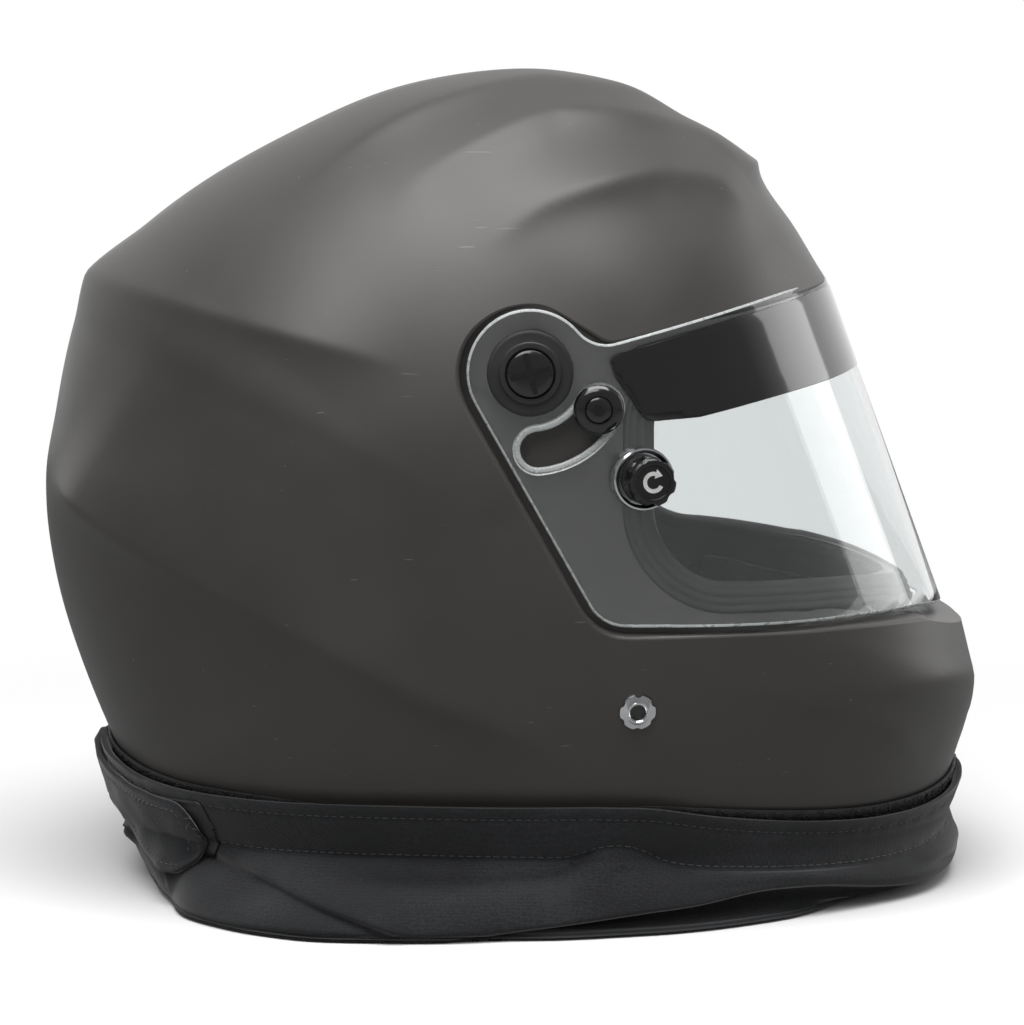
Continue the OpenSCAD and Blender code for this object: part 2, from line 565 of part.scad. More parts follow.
// The skirt hangs from a tape of hooks, and its loose cloth lies bunched under the rim
band_slope = 0.03;
function band_top(b) = rim_z + 18 - band_slope * (axis_x + skin_reach(b, rim_z + 16) * cos(b));
tape_seat = 0.7;
tape_face = tape_seat + tape_wall + seat;
band_out = trim_gap + trim_wall + 0.4 + seat;
module hook_tape() {
    color([0.1, 0.1, 0.1]) hoop(function(b) let (t = band_top(b)) [[tape_seat, rim_z + 8.5], [tape_seat, t + tape_show],
        [tape_seat + tape_wall, t + tape_show], [tape_seat + tape_wall, rim_z + 8.5]], 72);
}
module skirt_band() {
    color([0.07, 0.07, 0.08]) hoop(function(b) let (t = band_top(b), o = band_out)
        [[o + 0.4, t - band_height], [tape_face + 0.9, t - 8], [tape_face, t], [tape_face + band_wall, t],
        [tape_face + 0.9 + band_wall, t - 8], [o + 0.4 + band_wall, t - band_height]], 72);
}
tab_from = 184;
tab_to = 219;
band_face = [[-32, band_out + band_wall + 4.6], [-22, band_out + band_wall + 1.8],
    [-8, tape_face + band_wall + 1.3], [0, tape_face + band_wall + seat], [4, tape_face + band_wall + seat]];
tab_wall = 1.8;
module skirt_tab() {
    color([0.09, 0.09, 0.1]) hoop(function(b) let (u = max(0, (b - tab_to + 8) / 8), h = 13.5 * sqrt(1.01 - u ^ 2),
        m = band_top(b) - 13, marks = [-1, -0.35, 0.4, 1])
        concat([for (k = marks) [lookup(h * k - 13, band_face), m + h * k]],
            [for (i = [3:-1:0]) [lookup(h * marks[i] - 13, band_face) + tab_wall, m + h * marks[i]]]),
        12, tab_from, tab_to);
}

// How far the cloth spreads at the floor, with its main folds running aslant
function spread(b) = cloth_spread * 2.4 * sin(b) ^ 2 - 5;
function fold(b, level) = fold_depth * level * (sin(5 * b + 110 * level) * 0.6 + sin(11 * b - 160 * level) * 0.4);
module skirt_cloth() {
    color([0.08, 0.08, 0.09]) hoop(function(b) let (w = spread(b), top = band_top(b) - band_height - seat,
        under = rim_z - trim_wall - seat)
        [[-10, under], [4, min(under, top - 0.2)], [band_out + band_wall + 1.4, top],
        [w * 0.45 + 6 + fold(b, 0.5), top * 0.68], [w * 0.8 + 4 + fold(b, 0.9), top * 0.36],
        [w + fold(b, 1), top * 0.12], [w - 3 + fold(b, 1), 0], [-20 + fold(b + 40, 0.4), 0],
        [-24 + fold(b + 40, 0.8), top * 0.3], [-23 + fold(b + 40, 0.7), top * 0.7], [-17, under - 1]], 72);
}

// The visor is one bent sheet with flat ears
module visor() {
    color([0.8, 0.85, 0.88, 0.4]) difference() {
        intersection() {
            difference() {
                bent_solid(visor_half, visor_reach, 2.5);
                bent_solid(visor_half - visor_wall, visor_reach - visor_wall, 2.5);
            }
            side_prism(from_pivot(visor_outline()));
        }
        right_at(pivot_x, pivot_z) cylinder(h = far, r = bush_r + bush_clear, center = true);
        both_sides() post_frame() cylinder(h = 20, r = stud_r + seat / 3, center = true);
        both_sides() slot();
    }
}
// The curved slot that the guide sleeve runs in: it goes back round the pivot as the visor lifts
module slot() {
    r = guide_r + slot_clear;
    extra = 1.2;
    end = -guide_angle - visor_travel - extra;
    start = extra - guide_angle;
    points = concat(arc([0, 0], guide_arm + r, start, end, 14),
        arc(guide_arm * [cos(end), sin(end)], r, end, end - 180, 8),
        arc([0, 0], guide_arm - r, end, start, 14),
        arc(guide_arm * [cos(start), sin(start)], r, start + 180, start, 8));
    rotate([90, 0, 0]) linear_extrude(far / 2) polygon(from_pivot(points));
}
module sun_strip() {
    color([0.03, 0.03, 0.03]) intersection() {
        difference() {
            bent_solid(visor_half + strip_wall, visor_reach + strip_wall, 2.5);
            bent_solid(visor_half, visor_reach, 2.5);
        }
        side_prism(from_pivot(concat([[28, -1], [33.5, -8.5]], arc([41.5, -10], 6, 215, 285, 5),
            [[56, -15], [75, -11], [92, -7.6], [104, -5.4], [125, -1], [170, 6], [170, 28],
            [112, 26.6], [103, 25.2], [84, 21], [60, 14.6], [36, 8.2], [29, 6.4], [26.4, 4.4]])));
    }
}

// Pivot parts, built on the right side about an axis that points out
module ring(r, hole, from, to) {
    translate([0, 0, from]) difference() {
        cylinder(h = to - from, r = r);
        translate([0, 0, -1]) cylinder(h = to - from + 2, r = hole);
    }
}
pivot_thread_r = 2.5;
guide_thread_r = 1.6;
bush_flange_r = 12;
washer_seat = visor_half + seat;
washer_wall = 1.6;
insert_flange = 1.5;
module pivot_inserts() {
    color([0.72, 0.6, 0.32]) both_sides() right_at(pivot_x, pivot_z) {
        ring(insert_r, pivot_thread_r, pan_half, recess_half);
        ring(insert_r + 3, pivot_thread_r, pan_half - insert_flange, pan_half);
    }
}
module pivot_bushes() {
    color([0.08, 0.08, 0.08]) both_sides() right_at(pivot_x, pivot_z) {
        ring(bush_flange_r, pivot_thread_r + 0.2, recess_half, recess_half + visor_gap - seat);
        ring(bush_r, pivot_thread_r + 0.2, recess_half + visor_gap - seat, washer_seat);
    }
}
module pivot_washers() {
    color([0.16, 0.16, 0.16]) both_sides() right_at(pivot_x, pivot_z) {
        ring(washer_r, pivot_thread_r + 0.2, washer_seat, washer_seat + washer_wall);
        ring(pivot_head_r + 2.6, pivot_head_r + seat, washer_seat + washer_wall, washer_seat + washer_wall + 1);
    }
}
pivot_head_h = 2.6;
module pivot_screws() {
    cross_w = 1.5;
    color([0.02, 0.02, 0.02]) both_sides() right_at(pivot_x, pivot_z) difference() {
        union() {
            translate([0, 0, pan_half - insert_flange]) cylinder(h = far / 2 - pan_half, r = pivot_thread_r, $fn = 48);
            translate([0, 0, washer_seat + washer_wall]) rotate_extrude() polygon(concat([[0, 0], [pivot_head_r, 0]],
                arc([pivot_head_r - 0.8, pivot_head_h - 1.2], 0.8, 0, 80, 4), [[0, pivot_head_h]]));
        }
        translate([0, 0, washer_seat + washer_wall + pivot_head_h]) cylinder(h = far, r = washer_r);
        for (turn = [14, 104]) rotate(turn) translate([-pivot_head_r * 0.86, -cross_w / 2,
            washer_seat + washer_wall + pivot_head_h - 1.4]) cube([pivot_head_r * 1.72, cross_w, 5]);
    }
}
guide_washer_r = 8.1;
module guide_inserts() {
    color([0.72, 0.6, 0.32]) both_sides() right_at(guide[0], guide[1]) {
        ring(guide_insert_r, guide_thread_r, pan_half, recess_half);
        ring(guide_insert_r + 2, guide_thread_r, pan_half - insert_flange, pan_half);
    }
}
module guide_sleeves() {
    color([0.7, 0.7, 0.7]) both_sides() right_at(guide[0], guide[1])
        ring(guide_r, guide_thread_r + 0.2, recess_half, washer_seat);
}
module guide_washers() {
    color([0.05, 0.05, 0.05]) both_sides() right_at(guide[0], guide[1]) translate([0, 0, washer_seat])
        rotate_extrude() polygon(concat([[guide_thread_r + 0.2, 0], [guide_washer_r, 0]],
            arc([guide_washer_r - 2.4, 0.6], 2.4, 0, 70, 6), [[4.2, 3], [4.2, 1.2], [guide_thread_r + 0.2, 1.2]]));
}
module guide_screws() {
    color([0.45, 0.45, 0.46]) both_sides() right_at(guide[0], guide[1]) difference() {
        union() {
            translate([0, 0, pan_half - insert_flange]) cylinder(h = washer_seat + 2 - pan_half + insert_flange,
                r = guide_thread_r);
            translate([0, 0, washer_seat + 1.2]) cylinder(h = 2.4, r = 3.6);
        }
        translate([0, 0, washer_seat + 2]) cylinder(h = 5, r = 1.9, $fn = 6);
    }
}

// Tear-off posts: a bright cup fixed to the visor, and a scalloped knob that turns in it
post = [pivot_x + post_ahead, pivot_z - post_drop];
post_seat = visor_y([post_ahead, -post_drop]);
stud_r = 3;
cup_h = 5.5;
cup_floor = 2.2;
cup_rim = 1.3;
module post_frame() {
    right_at(post[0], post[1]) translate([0, 0, post_seat]) rotate([0, post_lean, 0]) children();
}
spindle_top = knob_top - 3;
module post_base() {
    color([0.75, 0.75, 0.76]) {
        difference() {
            post_frame() rotate_extrude() polygon([[0, -3], [cup_r - 1, -3], [cup_r, -1], [cup_r, cup_h - 1],
                [cup_r - 0.6, cup_h], [cup_r - cup_rim, cup_h - 0.4], [knob_r + 0.6, cup_floor],
                [spindle_r, cup_floor], [spindle_r, spindle_top], [0, spindle_top]]);
            bent_solid(visor_half, visor_reach, 2.5);
        }
        difference() {
            post_frame() translate([0, 0, -6]) cylinder(h = 6 + cup_floor / 2, r = stud_r);
            bent_solid(visor_half - visor_wall, visor_reach - visor_wall, 2.5);
        }
    }
}
module post_base_right() { post_base(); }
module post_base_left() { mirror([0, 1, 0]) post_base(); }
scallops = 7;
module post_knob() {
    foot = cup_floor + seat;
    color([0.04, 0.04, 0.04]) post_frame() difference() {
        rotate_extrude() polygon([[spindle_r + knob_clear, foot], [knob_r, foot], [knob_r, foot + 3],
            [knob_r - 1.6, foot + 3.6], [knob_r - 1.6, foot + 4.6], [knob_r, foot + 5.4], [knob_r, knob_top - 1.2],
            [knob_r - 0.8, knob_top - 0.4], [knob_r - 1.6, knob_top], [0, knob_top], [0, spindle_top + seat],
            [spindle_r + knob_clear, spindle_top + seat]]);
        for (i = [0:scallops - 1]) rotate(360 * i / scallops) translate([knob_r + 1.5, 0, foot + 4.4])
            cylinder(h = knob_top, r = 2.6);
        translate([0, 0, knob_top - 0.5]) cylinder(h = 2, r = knob_r - 2.6);
    }
}
module post_knob_right() { post_knob(); }
module post_knob_left() { mirror([0, 1, 0]) post_knob(); }

// Strap anchors: the terminal outside, a nut inside, and the bracket clamped between
bracket_wall = 1.5;
bracket_boss = 5;
boss_r = 8;
bracket_drop = 23;
loop_slot = 4;
nut_wall = 4;
terminal_h = 3.6;
anchor_sink = 1.2;
bracket_at = anchor_sink - shell_wall - bracket_boss;
nut_at = bracket_at - bracket_wall - nut_wall;
module anchor_frame() {
    right_at(anchor_x, anchor_z) translate([0, 0, anchor_seat]) rotate([anchor_tilt, anchor_yaw, 0]) children();
}
module anchor_terminals() {
    lobes = 6;
    color([0.8, 0.8, 0.8]) both_sides() anchor_frame() difference() {
        union() {
            rotate_extrude() polygon(concat([[0, 0], [terminal_r, 0]], arc([terminal_r - 1, 1.6], 1, 0, 75, 4),
                [[terminal_r - 2, terminal_h - 0.8], [3.4, terminal_h], [0, terminal_h]]));
            translate([0, 0, nut_at]) cylinder(h = 0.5 - nut_at, r = stem_r);
        }
        for (i = [0:lobes - 1]) rotate(30 + 360 * i / lobes) translate([terminal_r + 0.9, 0, -1])
            cylinder(h = terminal_h + 3, r = 1.9);
        translate([0, 0, nut_at - 1]) cylinder(h = far / 2, r = thread_r);
    }
}
module anchor_nuts() {
    color([0.6, 0.6, 0.6]) both_sides() anchor_frame() translate([0, 0, nut_at]) difference() {
        cylinder(h = nut_wall, r = 7.5, $fn = 6);
        translate([0, 0, -1]) cylinder(h = nut_wall + 2, r = stem_r);
    }
}
module strap_brackets() {
    w = strap_width + 6;
    color([0.55, 0.55, 0.56]) both_sides() anchor_frame() difference() {
        union() {
            translate([0, 0, bracket_at - bracket_wall]) linear_extrude(bracket_wall)
                polygon(concat(arc([0, 0], 10, 20, 160, 10), [[-w / 2, 10 - bracket_drop],
                    [-w / 2, -bracket_drop], [w / 2, -bracket_drop], [w / 2, 10 - bracket_drop]]));
            translate([0, 0, bracket_at - bracket_wall]) cylinder(h = bracket_wall + bracket_boss, r = boss_r);
        }
        translate([-strap_width / 2 - 0.5, 3 - bracket_drop, bracket_at - bracket_wall - 1])
            cube([strap_width + 1, loop_slot, bracket_wall + 2]);
        translate([0, 0, bracket_at - far / 2]) cylinder(h = far, r = stem_r);
    }
}

// A strap is a thick line drawn in the end view, swept across the width of the webbing
function thick_line(path, wall) = let (n = len(path), sides = [for (i = [0:n - 1])
    let (d = path[min(n - 1, i + 1)] - path[max(0, i - 1)]) wall / 2 * [-d[1], d[0]] / norm(d)])
    concat([for (i = [0:n - 1]) path[i] + sides[i]], [for (i = [n - 1:-1:0]) path[i] - sides[i]]);
// The path is given from the bracket's slot, inwards and down
slot_up = 5 - bracket_drop;
module strap(path) {
    anchor_frame() translate([-strap_width / 2, 0, 0]) rotate([90, 0, 90]) linear_extrude(strap_width)
        polygon(thick_line([for (p = path) [slot_up + p[1], bracket_at - bracket_wall / 2 - p[0]]], strap_wall));
}
strap_loop = [[2.1, -9], [1.5, -6.6], [-1.2, -6.4], [-2.1, -4.6], [-2.1, -1.6], [-0.9, -0.1], [1.1, -0.1],
    [3, -2.4], [4.2, -8]];
// Below the loop it hangs clear of the shell, which comes in towards the rim
hang_clear = 8;
hang_in = anchor_seat - skin_y(anchor_x, rim_z) + hang_clear;
strap_hang = [for (p = [[0.16, -15], [0.32, -20.5], [0.62, -26], [0.86, -33]]) [p[0] * hang_in, p[1]]];
module chin_strap_right() {
    color([0.1, 0.1, 0.11]) strap(concat(strap_loop, strap_hang, [[hang_in, -42]]));
}
module chin_strap_left() {
    color([0.1, 0.1, 0.11]) mirror([0, 1, 0]) strap(concat(strap_loop, strap_hang, [[hang_in, -44]]));
}

outer_shell();
foam_liner();
chin_bar_liner();
crown_liner();
neck_roll();
cheek_pad_right();
cheek_pad_left();
eyeport_seal();
rim_trim();
pivot_inserts();
pivot_bushes();
pivot_washers();
pivot_screws();
guide_inserts();
guide_sleeves();
guide_washers();
guide_screws();
visor();
sun_strip();
post_base_right();
post_base_left();
post_knob_right();
post_knob_left();
anchor_terminals();
anchor_nuts();
strap_brackets();
chin_strap_right();
chin_strap_left();
hook_tape();
skirt_band();
skirt_cloth();
skirt_tab();
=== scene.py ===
# %% [markdown]
# # An auto racing helmet in Blender
# The real thing is a full-face helmet: a laminate shell in matt black paint, a clear bent visor that
# turns on two screws, tear-off posts, a rubber seal round the eyeport, strap anchors, linings, and a
# cloth skirt held by hook tape round the rim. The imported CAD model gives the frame, so every piece
# below is made in the same place and only gets its finer form and its finish here.

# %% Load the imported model
import json
import bpy
import bmesh
import numpy as np
from mathutils import Matrix, Vector
from mathutils.geometry import delaunay_2d_cdt

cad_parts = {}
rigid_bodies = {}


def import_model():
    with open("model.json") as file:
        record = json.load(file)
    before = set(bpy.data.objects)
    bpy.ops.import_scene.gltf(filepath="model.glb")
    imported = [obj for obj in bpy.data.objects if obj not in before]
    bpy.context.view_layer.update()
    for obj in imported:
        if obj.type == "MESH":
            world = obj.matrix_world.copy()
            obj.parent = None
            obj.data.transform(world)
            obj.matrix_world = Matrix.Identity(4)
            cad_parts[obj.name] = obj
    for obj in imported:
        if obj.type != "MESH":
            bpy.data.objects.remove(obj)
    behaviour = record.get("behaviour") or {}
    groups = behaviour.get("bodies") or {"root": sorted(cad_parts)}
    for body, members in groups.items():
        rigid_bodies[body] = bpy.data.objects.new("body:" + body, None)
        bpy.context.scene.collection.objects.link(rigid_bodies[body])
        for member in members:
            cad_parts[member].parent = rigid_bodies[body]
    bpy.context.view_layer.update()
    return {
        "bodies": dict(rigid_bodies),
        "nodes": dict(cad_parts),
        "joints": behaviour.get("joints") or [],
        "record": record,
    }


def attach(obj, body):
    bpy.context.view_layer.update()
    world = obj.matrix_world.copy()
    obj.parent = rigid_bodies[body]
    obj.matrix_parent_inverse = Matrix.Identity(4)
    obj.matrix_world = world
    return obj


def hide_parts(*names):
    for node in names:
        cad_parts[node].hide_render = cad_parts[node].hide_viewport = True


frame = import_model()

# %% [markdown]
# Lengths below are in millimetres, as on a drawing, and turn into metres in one place. A mesh is
# smooth where its faces meet at less than a given angle, so that machined edges stay crisp.

# %% Make a mesh from points and faces
MM = 0.001
scene = bpy.context.scene


def finish_mesh(mesh, smooth, recalc=True):
    """Merges doubles, turns the faces outwards, and keeps edges sharper than an angle crisp."""
    work = bmesh.new()
    work.from_mesh(mesh)
    bmesh.ops.remove_doubles(work, verts=work.verts, dist=1e-7)
    if recalc:
        bmesh.ops.recalc_face_normals(work, faces=work.faces)
    work.to_mesh(mesh)
    work.free()
    mesh.shade_smooth()
    mesh.set_sharp_from_angle(angle=np.radians(smooth))


def new_piece(name, points, faces, smooth=35, recalc=True):
    """A piece of the scene from points in millimetres."""
    mesh = bpy.data.meshes.new(name)
    mesh.from_pydata([tuple(p) for p in np.asarray(points, float) * MM], [],
        [tuple(map(int, f)) for f in faces])
    finish_mesh(mesh, smooth, recalc)
    piece = bpy.data.objects.new(name, mesh)
    scene.collection.objects.link(piece)
    return piece


# %% [markdown]
# A form is often a stack of closed loops, like the hoops of a barrel: neighbours are joined by
# quads, and the two ends are shut by a fan or left open.

# %% Join loops into a surface
def loft(loops, caps=(None, None), around=True):
    """Points and faces over a stack of loops; a cap is a middle point, "flat", or None for open."""
    n, points, faces = len(loops[0]), [p for loop in loops for p in loop], []
    for k in range(len(loops) - 1):
        for i in range(n if around else n - 1):
            a, b = k * n + i, k * n + (i + 1) % n
            faces.append((a, b, b + n, a + n))
    for end, cap in zip((0, len(loops) - 1), caps):
        if cap is None:
            continue
        ring = [end * n + i for i in range(n)]
        if isinstance(cap, str):
            faces.append(ring if end == 0 else ring[::-1])
        else:
            points.append(cap)
            faces += [(ring[i], ring[(i + 1) % n], len(points) - 1) for i in range(n)]
    return np.array(points, float), faces


def applied(piece):
    """Turns a piece with modifiers into a plain mesh."""
    mesh = bpy.data.meshes.new_from_object(piece.evaluated_get(bpy.context.evaluated_depsgraph_get()))
    piece.modifiers.clear()
    old, piece.data = piece.data, mesh
    bpy.data.meshes.remove(old)
    mesh.name = piece.name
    return mesh


def carve(piece, *cutters):
    """Cuts the other pieces out of a piece, and removes them."""
    for cutter in cutters:
        step = piece.modifiers.new("carve", "BOOLEAN")
        step.operation, step.solver, step.object = "DIFFERENCE", "MANIFOLD", cutter
    applied(piece)
    for cutter in cutters:
        bpy.data.objects.remove(cutter)
    return piece


# %% [markdown]
# ## The shell
# The laminate shell is one smooth body: a silhouette seen from the side, and an oval section from
# side to side. It could be sculpted, but a rule gives a cleaner skin: the silhouette is turned into
# a radius at each angle about the middle of the helmet, smoothed by a cubic through its points.

# %% The silhouette as a radius at each angle
MID = np.array([-5.0, 0.0, 140.0])
HALF_W, OVAL, WALL = 126.0, 2.2, 4.0
silhouette = np.array([[112, -162], [149, -132], [162.6, -112], [168.6, -95], [173.4, -78], [173.6, -68],
    [171.3, -57], [168.2, -43], [157, -5], [138, 38], [117, 79.5], [104, 99.9], [91.2, 114.4], [77.4, 125],
    [50.6, 139.2], [22.4, 147.2], [3, 149], [-32.2, 145.2], [-79, 127], [-125.6, 96.8], [-147.2, 77.9],
    [-153.6, 61.1], [-160.8, 30], [-164.8, 7], [-162, -28], [-151.4, -65.8], [-139.4, -95.6], [-129, -120],
    [-92, -157], [0, -186]])
turns = np.degrees(np.arctan2(silhouette[:, 1], silhouette[:, 0]))
START = turns[0]
turns = np.where(turns < START - 0.01, turns + 360, turns)
radii = np.hypot(*silhouette.T)
knots = np.concatenate([turns[-2:] - 360, turns, turns[:3] + 360])
knot_r = np.concatenate([radii[-2:], radii, radii[:3]])
slopes = np.gradient(knot_r, knots)
slopes[1:-1] = (knot_r[2:] - knot_r[:-2]) / (knots[2:] - knots[:-2])


def radius_at(a):
    """The silhouette's radius at an angle in degrees, by a cubic between the knots."""
    a = (np.asarray(a, float) - START) % 360 + START
    i = np.clip(np.searchsorted(knots, a, side="right") - 1, 1, len(knots) - 3)
    w = knots[i + 1] - knots[i]
    t = (a - knots[i]) / w
    return ((2 * t**3 - 3 * t**2 + 1) * knot_r[i] + (t**3 - 2 * t**2 + t) * slopes[i] * w
        + (3 * t**2 - 2 * t**3) * knot_r[i + 1] + (t**3 - t**2) * slopes[i + 1] * w)


print("shell from", round(MID[0] - radius_at(180.0), 1), "to", round(MID[0] + radius_at(0.0), 1), "mm")

# %% [markdown]
# Long soft lines run over the real shell: three thin crests over the crown, two creases along each
# side, and two lines on the chin bar. Each is a line drawn in the side view that lifts the skin, more gently on
# one side than on the other, so that light catches the crest and shade lies under it.

# %% Smooth curves, soft steps and distances
def through(points, steps=10):
    """A smooth curve through points, by a cubic between each two; steps may differ from span to span."""
    p = np.array(points, float)
    p = np.concatenate([2 * p[:1] - p[1:2], p, 2 * p[-1:] - p[-2:-1]])
    steps = np.broadcast_to(steps, len(p) - 3)
    out = []
    for i, n in enumerate(steps, 1):
        for t in np.arange(n) / n:
            out.append(0.5 * (2 * p[i] + (p[i + 1] - p[i - 1]) * t
                + (2 * p[i - 1] - 5 * p[i] + 4 * p[i + 1] - p[i + 2]) * t**2
                + (3 * p[i] - p[i - 1] - 3 * p[i + 1] + p[i + 2]) * t**3))
    return np.array(out + [p[-2]])


def rise(x):
    """From 0 to 1, with a soft start and a soft end."""
    x = np.clip(x, 0, 1)
    return x * x * (3 - 2 * x)


def off_segment(p, start, way):
    """How far along a segment each flat point lies, from 0 to 1, and its offset and distance from it."""
    d = p - start
    t = np.clip(d @ way / (way @ way), 0, 1)
    d = d - t[..., None] * way
    return t, d, np.hypot(d[..., 0], d[..., 1])


# %% The lines that lift the skin
# The points, the height, how slowly it falls above and below, and how it fades at its two ends
skin_lines = [
    ([[-74, 100], [-53, 119], [-25, 133], [8, 141], [27, 140], [50, 136], [66, 129]], 3.8, 26, 5, 0.35, 0.25),
    ([[-40, 100], [-19, 115], [12, 129], [27, 131], [60, 127], [77, 118], [96, 99]], 3.8, 26, 5, 0.35, 0.22),
    ([[-8, 86], [15, 102], [48, 111], [62, 111], [76, 108], [97, 94]], 3.8, 26, 5, 0.35, 0.22),
    ([[-151.5, 80], [-119, 72], [-72, 60], [-45, 54], [-23, 49]], 4.2, 30, 9, 0.001, 0.5),
    ([[-159, 9.5], [-130, -7], [-82, -29], [-25, -56], [8, -71], [41, -91]], 4.4, 30, 9, 0.12, 0.4),
    ([[74, -57], [101, -57], [138, -60], [163, -62], [176, -69]], 2.2, 22, 7, 0.5, 0.001),
    ([[84, -58.5], [101.6, -62], [120, -67.5], [138, -78], [152, -91]], 2.2, 14, 6, 0.4, 0.3),
]
skin_lines = [(through(line), *rest) for line, *rest in skin_lines]


def line_lift(p, line, height, above, below, head, tail):
    """How far one line lifts the skin at points of the side view."""
    a, v = line[:-1], line[1:] - line[:-1]
    best, lifted = np.full(len(p), 1e9), np.zeros(len(p))
    for i in range(len(a)):
        t, d, gap = off_segment(p, a[i], v[i])
        u = (i + t) / len(a)
        fade = rise(np.minimum(1, u / head) * np.minimum(1, (1 - u) / tail))
        fall = np.where(v[i][0] * d[:, 1] > v[i][1] * d[:, 0], above, below)
        new = height * fade * np.exp(-(np.sqrt(gap**2 + 1.2) - 1.1) / fall)
        lifted = np.where(gap < best, new, lifted)
        best = np.minimum(best, gap)
    return lifted


LIP_TURN, LIP_HEIGHT, LIP_HALF, LIP_BACK, LIP_FRONT = 52.0, 3.9, 46.0, 14.0, 3.6


def lift(p, y):
    """How far the skin stands out at a point of the side view about the middle."""
    r, a = np.hypot(*p.T), np.degrees(np.arctan2(p[:, 1], p[:, 0]))
    grow = np.minimum(1, np.abs(y) / 35) * sum(line_lift(p, *line) for line in skin_lines)
    s = (a - LIP_TURN) * r * np.pi / 180
    side = 1 - np.minimum(1, (np.abs(y) / LIP_HALF) ** 4)
    lip = np.exp(-(np.sqrt(s**2 + 0.5) - 0.7) / np.where(s >= 0, LIP_BACK, LIP_FRONT))
    return grow + np.where((a > 20) & (a < 100), LIP_HEIGHT * side * lip, 0)


# %% [markdown]
# The skin is a grid of rings round each ear that meet along the middle. It is fine, so that the
# crests are smooth, and the brow's lip gets grid lines of its own so that its step stays sharp.

# %% The skin as a closed grid
def skin_points(a, f, inset, raised):
    """Points at turns a and ring angles f of the near half, y < 0."""
    a, f = (m.ravel() for m in np.meshgrid(a, f))
    r = radius_at(a) - inset
    k = np.sin(np.radians(f)) ** (2 / OVAL)
    side = np.stack([r * k * np.cos(np.radians(a)), r * k * np.sin(np.radians(a))], 1)
    y = (HALF_W - inset) * np.maximum(np.cos(np.radians(f)), 0) ** (2 / OVAL)
    y[f >= 90] = 0
    size = np.sqrt(side[:, 0] ** 2 + side[:, 1] ** 2 + y**2)
    grow = 1 + (lift(side, y) / size if raised else 0)
    return np.stack([MID[0] + side[:, 0] * grow, -y * grow, MID[2] + side[:, 1] * grow], 1)


def skin(name, count, rings, inset=0.0, raised=False):
    a = START + 360 / count * np.arange(count)
    if raised:
        a = a[np.abs(a - LIP_TURN + 0.6) > 1.3]
        a = np.sort(np.append(a, LIP_TURN + np.array([-1.8, -1.35, -0.95, -0.6, -0.3, 0.0, 0.3, 0.7])))
    n = len(a)
    half = skin_points(a, 90 / rings * np.arange(1, rings + 1), inset, raised).reshape(rings, n, 3)
    loops = list(half) + [ring * [1, -1, 1] for ring in half[-2::-1]]
    pole = np.array([0, HALF_W - inset, 0])
    points, faces = loft(loops, (MID - pole, MID + pole))
    return new_piece(name, points, faces, 40)


shell = skin("shell", 420, 80, raised=True)
print("skin:", len(shell.data.polygons), "faces")

# %% [markdown]
# The visor lies in a recess whose floor is bent as the visor is: flat beside the ears, a tight bend,
# and a wide front. The same bend, moved in or out, cuts the recess, the rebate of the seal and the
# inside of the shell, and later shapes the visor. Seen square to its slope it is two arcs.

# %% The bent sheet's plan and slope
PIVOT = np.array([6.0, 188.3])
SLOPE, EAR_FLAT, BEND = 20.3, 14.0, 40.0
ALONG = np.array([np.cos(np.radians(SLOPE)), np.sin(np.radians(SLOPE))])
VISOR_HALF, VISOR_REACH = 118.0, 111.4
RECESS_HALF, RECESS_REACH = 113.6, 101.5
REBATE_HALF, REBATE_REACH = 111.0, 98.9
PAN_HALF, PAN_REACH = 107.4, 95.3


def bend_radii(half, reach):
    s, c = np.sin(np.radians(BEND)), np.cos(np.radians(BEND))
    tight = (reach - EAR_FLAT - (1 - s) * half / c) / (s - (1 - s) * (1 - c) / c)
    return tight, (half - tight * (1 - c)) / c


